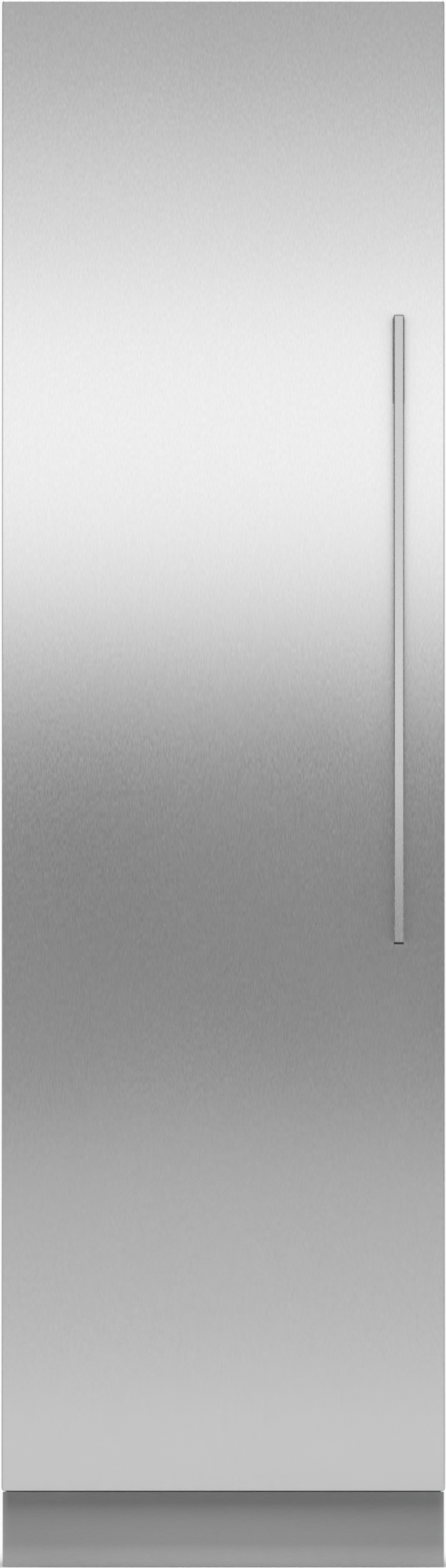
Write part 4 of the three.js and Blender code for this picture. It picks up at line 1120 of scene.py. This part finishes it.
class REFRIGERATOR_OT_machine_bay(Operator):
    """Makes the compressor, condenser, tubes, drip tray and the board box's ribs"""

    bl_idname = "refrigerator.machine_bay"
    bl_label = "Machine bay"

    def execute(self, context):
        self.add_compressor()
        self.add_condenser()
        self.add_tubes()
        self.add_tray()
        self.add_board_box()
        return {"FINISHED"}

    def compressor_middle(self):
        """The shell's middle, measured from the back, as its cover stands out in front."""
        low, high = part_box("compressor")
        return (low.x + high.x) / 2, high.y - 0.072

    def add_compressor(self):
        low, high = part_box("compressor")
        x, y = self.compressor_middle()
        radius, foot, plate, top = 0.071, low.z + 0.008, low.z + 0.012, high.z - 0.0005
        form = Form()
        form.lathe([
            (0.0, plate), (radius * 0.62, plate), (radius * 0.88, plate + 0.012),
            (radius * 0.985, plate + 0.034), (radius, plate + 0.060),
            (radius, plate + 0.080), (radius + 0.0009, plate + 0.082),
            (radius + 0.0009, plate + 0.087), (radius - 0.0006, plate + 0.089),
            (radius - 0.0006, top - 0.048), (radius * 0.95, top - 0.028),
            (radius * 0.80, top - 0.012), (radius * 0.52, top - 0.003), (0.0, top)],
            (x, y, 0), UP, 48)
        wide, deep, cover_wide, cover = 0.092, 0.062, 0.026, plate + 0.047
        form.prism(rounded(x - wide, y - deep, x + wide, y + deep, 0.018), plan, foot, plate,
                   0.0008)
        form.block((x - cover_wide, low.y, cover), (x + cover_wide, y - 0.040, cover + 0.050),
                   0.004, 3)
        form.done("compressor_shell", "dark_paint", ["compressor"])

        feet = Form()
        wide, neck, waist, lip, cap = 0.0098, 0.0060, 0.0078, low.z + 0.0020, plate + 0.0025
        for foot_x in (x - 0.080, x + 0.080):
            for foot_y in (y - 0.050, y + 0.050):
                feet.lathe([(0.0, low.z), (wide, low.z), (wide, lip), (waist, lip + 0.0014),
                            (wide, lip + 0.0030), (wide, foot), (neck, foot), (neck, cap),
                            (0.0, cap)], (foot_x, foot_y, 0), UP, 20)
        feet.done("compressor_grommets", "rubber")

    def add_condenser(self):
        low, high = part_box("condenser")
        radius, gap, inset = sizes().tube_radius, 0.001, 0.004
        count = int((high.y - low.y - 2 * inset) / sizes().fin_pitch)
        fin, plate, fin_foot = 0.0007, 0.0016, 0.012
        fins = Form()
        for i, y in enumerate(spaced(low.y + inset, high.y - inset - fin, count + 1)):
            thick, foot = (plate, 0.0) if i in (0, count) else (fin, fin_foot)
            fins.block((low.x + gap, y, low.z + foot), (high.x - gap, y + thick, high.z - gap))
        fins.done("condenser_fins", "dark_paint", ["condenser"])

        tubes = Form()
        foot, top, rows = low.z + 0.030, high.z - 0.015, 8
        for share in (0.25, 0.75):
            x = low.x + (high.x - low.x) * share
            tubes.tube(serpentine((x, low.y + gap + radius), (x, high.y - gap - radius), foot,
                                  top, rows), radius)
        tubes.done("condenser_tubes", "copper")

    def add_tubes(self):
        """Refrigerant tubes from the compressor to the condenser and up, and the drier."""
        radius, bend = sizes().tube_radius, 0.014
        x, y = self.compressor_middle()
        top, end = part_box("compressor")[1].z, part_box("condenser")[1]
        left, near, far, level = x - 0.088, y + 0.020, y + 0.066, top + 0.060
        tubes = Form()
        tubes.tube(bent([
            (x - 0.050, near, top - 0.040), (left, near, top - 0.040), (left, near, level),
            (left, far, level), (end.x - 0.010, far, level),
            (end.x - 0.010, far, end.z - 0.001)], bend), radius)
        right, turn, near = x + 0.080, x + 0.020, y + 0.030
        tubes.tube(bent([
            (x + 0.045, near, top - 0.040), (right, near, top - 0.040),
            (right, near, top + 0.030), (turn, near, top + 0.045),
            (turn, near, top + 0.068)], bend), radius * 1.3)
        tubes.done("refrigerant_tubes", "copper")

        drier = Form()
        drier.lathe([(0.0, 0.0), (radius, 0.0), (0.0075, 0.010), (0.0075, 0.060),
                     (radius, 0.070), (0.0, 0.070)], (end.x + 0.020, far, level), RIGHT, 20)
        drier.done("filter_drier", "copper")

    def add_tray(self):
        low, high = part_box("drip_tray")
        wall, edge, draft, rim, corner = 0.0018, 0.004, 0.003, 0.0025, 0.010
        form = Form()
        form.loft([ring(low, high, inset, z, corner, 4) for inset, z in (
            (draft + edge, low.z), (draft + edge * 0.3, low.z + edge * 0.3),
            (draft, low.z + edge), (rim, high.z - rim), (0.0, high.z - rim), (0.0, high.z),
            (rim + wall, high.z), (draft + wall, low.z + edge + wall),
            (draft + edge + wall, low.z + wall))])
        form.done("evaporation_tray", "black_plastic", ["drip_tray"])

    def add_board_box(self):
        low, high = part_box("board_box")
        face, first, pitch, ribs = low.x - 0.0002, low.z + 0.012, 0.008, 6
        front, back, wide, tall = low.y + 0.010, high.y - 0.020, 0.003, 0.001
        form = Form()
        for i in range(ribs):
            z = first + i * pitch
            form.rib((face, front, z), (face, back, z), LEFT, wide, tall)
        form.done("board_box_ribs", "grey_plastic")


class REFRIGERATOR_OT_fan_wheels(Operator):
    """Makes the two fan wheels with curved blades"""

    bl_idname = "refrigerator.fan_wheels"
    bl_label = "Fan wheels"

    def execute(self, context):
        self.add_wheel("condenser_fan", RIGHT, 5, 0.021, "black_plastic")
        self.add_wheel("evaporator_fan", BACK, 6, 0.017, "grey_plastic")
        return {"FINISHED"}

    def add_wheel(self, node, axis, blades, hub, finish):
        low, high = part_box(node)
        centre, size = (low + high) / 2, high - low
        deep, tip, bore, root = size.dot(axis), max(size) / 2 - 0.001, 0.0035, hub * 0.96
        other = axis.cross(UP)
        form = Form()
        form.lathe([(bore, -deep * 0.40), (hub * 0.86, -deep * 0.40), (hub, -deep * 0.30),
                    (hub, deep * 0.34), (hub * 0.80, deep * 0.44), (bore, deep * 0.46)],
                   centre, axis, 32)
        half_turn, widening, sweep, slant, belly, thick = 0.42, 0.25, 0.25, 0.40, 0.06, 0.0008
        for blade in range(blades):
            rows = []
            for share in spaced(0, 1, 8):
                out = root + (tip - root) * share
                row = []
                for face in (1, -1):
                    for u in spaced(-face, face, 5):
                        angle = (TURN * blade / blades + sweep * share ** 2
                                 + u * half_turn * (1 + widening * share))
                        along = deep * (u * slant + (1 - u * u) * belly) + face * thick
                        row.append(centre + axis * along
                                   + (UP * math.cos(angle) + other * math.sin(angle)) * out)
                rows.append(row)
            form.loft(rows)
        form.done(f"{node}_blades", finish, [node], f"{node}_wheel", angle=50.0)


class REFRIGERATOR_OT_base(Operator):
    """Makes the levelling feet, the rear rollers and the chassis bolts"""

    bl_idname = "refrigerator.base"
    bl_label = "Feet, rollers and chassis"

    def execute(self, context):
        for side in ("left", "right"):
            self.add_foot(side)
            self.add_roller(side)
        low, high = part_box("base_frame")
        end_gap, rise, radius, head = 0.060, 0.050, 0.0055, 0.0018
        form = Form()
        for side, axis in sides(low, high):
            for y in (low.y + end_gap, 0.0, 0.150, high.y - end_gap):
                form.screw((side, y, low.z + rise), axis, radius, head)
        form.done("chassis_bolts", "hinge_zinc")
        return {"FINISHED"}

    def add_foot(self, side):
        low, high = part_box(f"{side}_levelling_foot")
        centre = (low + high) / 2
        centre.z = 0
        pad, rod, groove, pitch, nut = high.x - centre.x, 0.005, 0.0007, 0.0018, 0.0091
        z = 0.0085
        profile = [(0.0, 0.0), (pad - 0.0015, 0.0), (pad, 0.0015), (pad, 0.0048),
                   (pad - 0.004, 0.0076), (rod + 0.003, 0.008), (rod, z)]
        while z < high.z - pitch:
            profile += [(rod, z), (rod - groove, z + pitch / 2)]
            z += pitch
        profile += [(rod, high.z - 0.001), (rod - 0.001, high.z), (0.0, high.z)]
        form = Form()
        form.lathe(profile, centre, UP, 24)
        form.prism([corner.xy for corner in circle(centre, RIGHT, BACK, nut, 6)], plan,
                   0.012, 0.019, 0.0008)
        form.done(f"{side}_foot_screw", "hinge_zinc", [f"{side}_levelling_foot"],
                  f"{side}_foot")

    def add_roller(self, side):
        low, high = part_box(f"{side}_rear_roller")
        wide, radius, bore, hub = high.x - low.x, (high.z - low.z) / 2, 0.0044, 0.0080
        half = [(bore, 0.0), (hub, 0.0), (hub, 0.0020), (radius - 0.005, 0.0020),
                (radius - 0.004, 0.0), (radius - 0.002, 0.0002), (radius - 0.0004, 0.0018),
                (radius, wide / 4)]
        form = Form()
        form.lathe(half + [(out, wide - along) for out, along in reversed(half)],
                   (low.x, (low.y + high.y) / 2, (low.z + high.z) / 2), RIGHT, 40)
        form.done(f"{side}_roller_tyre", "grey_plastic", [f"{side}_rear_roller"],
                  f"{side}_roller")


class REFRIGERATOR_OT_hinges(Operator):
    """Makes the raised lines on the hinges' arms, and their pivot caps"""

    bl_idname = "refrigerator.hinges"
    bl_label = "Hinge details"

    def execute(self, context):
        low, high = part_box("cabinet_shell")
        for name, face, axis in (("upper", high.z, UP), ("lower", low.z, DOWN)):
            arm_low, arm_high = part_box(f"{name}_hinge_main_arm")
            # The line runs along the arm, from the cabinet's pivot towards the door's
            level = face + axis.z * max(abs(arm_low.z - face), abs(arm_high.z - face))
            arm = Form()
            arm.rib((-0.222, -0.2425, level), (-0.278, -0.2435, level), axis, 0.006,
                    (arm_high.z - arm_low.z) * 0.12)
            arm.done(f"{name}_arm_line", "hinge_zinc", body="hinge_arms")
            cap = Form()
            cap.lathe([(0.0, 0.0), (0.0068, 0.0), (0.0068, 0.0004), (0.0052, 0.0014),
                       (0.0, 0.0016)], (-0.220, -0.241, face + axis.z * 0.029), axis, 20)
            cap.done(f"{name}_pivot_cap", "hinge_zinc")
        return {"FINISHED"}


# Inside


class REFRIGERATOR_OT_liner(Operator):
    """Makes the liner's moulded ribs and its front beads"""

    bl_idname = "refrigerator.liner"
    bl_label = "Liner details"

    def execute(self, context):
        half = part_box("upper_drawer_housing")[1].x + 0.004
        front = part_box("shelf_1_frame")[0].y
        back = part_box("evaporator_cover")[0].y - 0.012
        shelves = [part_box(f"shelf_{number}_frame")[0].z for number in (1, 2, 3)]
        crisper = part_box("crisper_cover_frame")[1].z
        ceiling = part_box("ceiling_light")[1].z
        spans = list(zip([crisper] + [z + 0.012 for z in shelves],
                         [z - 0.010 for z in shelves] + [ceiling]))
        rib_wide, rib_start, rib_high = 0.012, front + 0.020, sizes().rib_high
        bead_wide, bead_y = 0.008, front - 0.070
        form = Form()
        for x, axis in ((-half, RIGHT), (half, LEFT)):
            for foot, top in spans:
                for z in spaced(foot, top, 5)[1:-1]:
                    form.rib((x, rib_start, z), (x, back, z), axis, rib_wide, rib_high)
            form.rib((x, bead_y, crisper + 0.020), (x, bead_y, ceiling - 0.030), axis,
                     bead_wide, rib_high)
        form.done("liner_ribs", "white_plastic")
        return {"FINISHED"}


class REFRIGERATOR_OT_shelves(Operator):
    """Makes the shelves and the crisper's cover: glass, front trims and side rails"""

    bl_idname = "refrigerator.shelves"
    bl_label = "Shelves"

    def execute(self, context):
        for name in ("shelf_1", "shelf_2", "shelf_3", "crisper_cover"):
            self.add_shelf(name)
        return {"FINISHED"}

    def add_shelf(self, name):
        low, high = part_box(f"{name}_frame")
        glass_low, glass_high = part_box(f"{name}_glass")
        nose, rail, lip, seat = sizes().shelf_nose, 0.0120, 0.0004, 0.0055
        front, back, under = glass_low.y, glass_high.y, glass_low.z - lip
        left, right = low.x + rail, high.x - rail
        trim = Form()
        trim.block(low, (high.x, front - lip, high.z), nose, 4)
        trim.block((left, front - lip * 2, low.z + 0.001), (right, front + rail * 0.4, under),
                   0.0008)
        trim.done(f"{name}_front_trim", "trim_steel", [f"{name}_frame"])

        rails = Form()
        for side, glass, inward in ((low.x, glass_low.x, 1), (high.x, glass_high.x, -1)):
            rails.block((side, front, low.z), (glass - inward * lip, high.y, high.z - 0.0006),
                        0.0016, 3)
            rails.block((side, front, low.z + lip), (glass + inward * seat, high.y, under),
                        0.0010)
        rails.block((left, back + lip, low.z), (right, high.y, high.z), 0.0014, 3)
        rails.block((left, back - 0.005, low.z + lip), (right, high.y, under), 0.0010)
        rails.done(f"{name}_rails", "white_plastic", [f"{name}_frame"])

        pane = Form()
        pane.block(glass_low, glass_high, 0.0008)
        pane.second_finish(lambda normal: abs(normal.z) <= 0.9)
        pane.done(f"{name}_pane", "shelf_glass", [f"{name}_glass"], second="glass_edge")


class REFRIGERATOR_OT_drawers(Operator):
    """Makes the two drawers: clear boxes, and fronts with grips and trims"""

    bl_idname = "refrigerator.drawers"
    bl_label = "Drawers"

    def execute(self, context):
        for name in ("lower_drawer", "upper_drawer"):
            self.add_box(name)
            self.add_front(name)
        return {"FINISHED"}

    def add_box(self, name):
        low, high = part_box(f"{name}_box")
        corner, wall, draft, edge, lip = sizes().drawer_corner, 0.0026, 0.006, 0.008, 0.003
        foot, rim = draft + edge, 0.0006
        form = Form()
        form.loft([ring(low, high, inset, z, corner) for inset, z in (
            (foot, low.z), (draft + edge * 0.3, low.z + edge * 0.3), (draft, low.z + edge),
            (lip, high.z - lip * 2), (0.0, high.z - lip), (0.0, high.z - rim),
            (rim, high.z), (lip + wall * 0.7, high.z), (lip + wall, high.z - lip),
            (draft + wall, low.z + edge + wall), (foot + wall, low.z + wall))])
        form.floor_ribs(low, high, foot + wall + 0.010, low.z + wall, 8, 0.005, 0.0016)
        form.done(f"{name}_tub", "clear_plastic", [f"{name}_box"], name)

    def add_front(self, name):
        low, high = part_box(f"{name}_front")
        grip_half, grip, edge = 0.070, high.z - 0.022, (high.y - low.y) / 4
        form = Form()
        form.prism(rounded(low.x, low.z, high.x, grip - 0.004, 0.006), front_on, low.y,
                   high.y, edge)
        for side, axis in sides(low, high):
            form.block((side, low.y, grip - 0.006), (axis.x * grip_half, high.y, high.z),
                       edge, 3)
        form.done(f"{name}_face", "frosted_plastic", [f"{name}_front"], name)

        trim = Form()
        inset, proud, sunk = 0.004, 0.0002, 0.0016
        trim.block((low.x + inset, low.y - proud, grip - 0.0095),
                   (high.x - inset, low.y + sunk, grip - 0.0015), 0.0006)
        trim.done(f"{name}_trim", "trim_steel", body=name)


class REFRIGERATOR_OT_air_tower(Operator):
    """Makes the details of the air cover at the back of the room, and the cooling coil"""

    bl_idname = "refrigerator.air_tower"
    bl_label = "Air cover and coil"

    def execute(self, context):
        low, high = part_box("evaporator_cover")
        face, inset, inner_x = low.y, 0.030, 0.105
        outer_rib, inner_rib = (0.010, 0.0022), (0.005, 0.0012)
        form = Form()
        for x, (wide, tall) in (
                (low.x + inset, outer_rib), (high.x - inset, outer_rib),
                (-inner_x, inner_rib), (inner_x, inner_rib)):
            form.rib((x, face, low.z + inset), (x, face, high.z - inset), FRONT, wide, tall)
        form.done("air_cover_ribs", "white_plastic")

        screws = Form()
        side_gap, end_gap, rows = 0.014, 0.040, 5
        for x in (low.x + side_gap, high.x - side_gap):
            for z in spaced(low.z + end_gap, high.z - end_gap, rows):
                screws.screw((x, face, z), FRONT)
        screws.done("air_cover_screws", "hinge_zinc")
        self.add_coil()
        return {"FINISHED"}

    def add_coil(self):
        low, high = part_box("evaporator_coil")
        radius, back = sizes().tube_radius, low.y + 0.033
        thick, count, ear, front_gap, top_gap = 0.0006, 45, 0.012, 0.0005, 0.008
        fins = Form()
        for x in spaced(low.x + ear, high.x - ear - thick, count):
            fins.block((x, low.y + front_gap, low.z), (x + thick, back, high.z - top_gap))
        for x in (low.x, high.x - ear):
            fins.block((x, back - 0.020, high.z - 0.006), (x + ear, high.y, high.z), 0.001)
        fins.done("coil_fins", "aluminium", ["evaporator_coil"])

        tubes = Form()
        foot, top, rows, inset = low.z + 0.015, high.z - 0.025, 7, 0.009
        for y in (low.y + inset, back - inset):
            tubes.tube(serpentine((low.x + radius, y), (high.x - radius, y), foot, top, rows),
                       radius)
        tubes.done("coil_tubes", "aluminium")


class REFRIGERATOR_OT_fittings(Operator):
    """Makes the ceiling light's bezel and lens, and the control strip"""

    bl_idname = "refrigerator.fittings"
    bl_label = "Light and controls"

    def execute(self, context):
        low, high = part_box("ceiling_light")
        wide, outer, inner, level = 0.006, 0.012, 0.008, low.z + 0.0012
        bezel = Form()
        bezel.loft([ring(low, high, inset, z, corner, 4) for inset, z, corner in (
            (0.0, high.z, outer), (0.0, low.z + 0.0010, outer), (0.0, low.z + 0.0004, outer),
            (wide, low.z, inner), (wide, high.z, inner))], closed=True)
        bezel.done("light_bezel", "white_plastic", ["ceiling_light"])

        lens = Form()
        lens.prism(rounded(low.x + wide, low.y + wide, high.x - wide, high.y - wide, inner),
                   plan, level, high.z, 0.0006)
        side_gap, end_gap, ribs, rib_wide, rib_high = 0.016, 0.014, 9, 0.006, 0.0008
        for y in spaced(low.y + end_gap, high.y - end_gap, ribs):
            lens.rib((low.x + side_gap, y, level), (high.x - side_gap, y, level), DOWN,
                     rib_wide, rib_high)
        lens.done("light_cover", "light_lens")

        low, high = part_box("control_panel")
        panel = Form()
        panel.prism(rounded(low.x, low.y, high.x, high.y, 0.006), plan, low.z, high.z, 0.0008)
        panel.done("control_strip", "control_gloss", ["control_panel"])
        dots = Form()
        half, count = 0.068, 5
        for x in spaced(-half, half, count):
            dots.lathe([(0.0, 0.0), (0.0022, 0.0), (0.0018, 0.0003), (0.0, 0.0003)],
                       (x, (low.y + high.y) / 2, low.z - 0.0002), DOWN, 14)
        dots.done("control_dots", "marker_glow")
        return {"FINISHED"}


class REFRIGERATOR_PT_pieces(Panel):
    """Lists the steps that dress the refrigerator, and its sizes and colours"""

    bl_idname = "REFRIGERATOR_PT_pieces"
    bl_label = "Column refrigerator"
    bl_space_type = "VIEW_3D"
    bl_region_type = "UI"
    bl_category = "Refrigerator"

    def draw(self, context):
        layout = self.layout
        for step in STEPS:
            layout.operator(step.bl_idname)
        for group in (sizes(), colours()):
            box = layout.box()
            for name in group.__annotations__:
                box.prop(group, name)


STEPS = (
    REFRIGERATOR_OT_finishes, REFRIGERATOR_OT_door_skin, REFRIGERATOR_OT_handle,
    REFRIGERATOR_OT_kick_plate, REFRIGERATOR_OT_door_case, REFRIGERATOR_OT_gasket,
    REFRIGERATOR_OT_door_bins,
    REFRIGERATOR_OT_door_liner, REFRIGERATOR_OT_case, REFRIGERATOR_OT_back,
    REFRIGERATOR_OT_grille, REFRIGERATOR_OT_machine_bay, REFRIGERATOR_OT_fan_wheels,
    REFRIGERATOR_OT_base, REFRIGERATOR_OT_hinges, REFRIGERATOR_OT_liner,
    REFRIGERATOR_OT_shelves, REFRIGERATOR_OT_drawers, REFRIGERATOR_OT_air_tower,
    REFRIGERATOR_OT_fittings, REFRIGERATOR_OT_stage)
CLASSES = (RefrigeratorSizes, RefrigeratorColours, *STEPS, REFRIGERATOR_PT_pieces)


def register():
    for entry in CLASSES:
        bpy.utils.register_class(entry)
    bpy.types.Scene.refrigerator_sizes = PointerProperty(type=RefrigeratorSizes)
    bpy.types.Scene.refrigerator_colours = PointerProperty(type=RefrigeratorColours)


def unregister():
    del bpy.types.Scene.refrigerator_colours
    del bpy.types.Scene.refrigerator_sizes
    for entry in reversed(CLASSES):
        bpy.utils.unregister_class(entry)


def main():
    register()
    for step in STEPS:
        group, name = step.bl_idname.split(".")
        getattr(getattr(bpy.ops, group), name)()


if __name__ == "__main__":
    main()
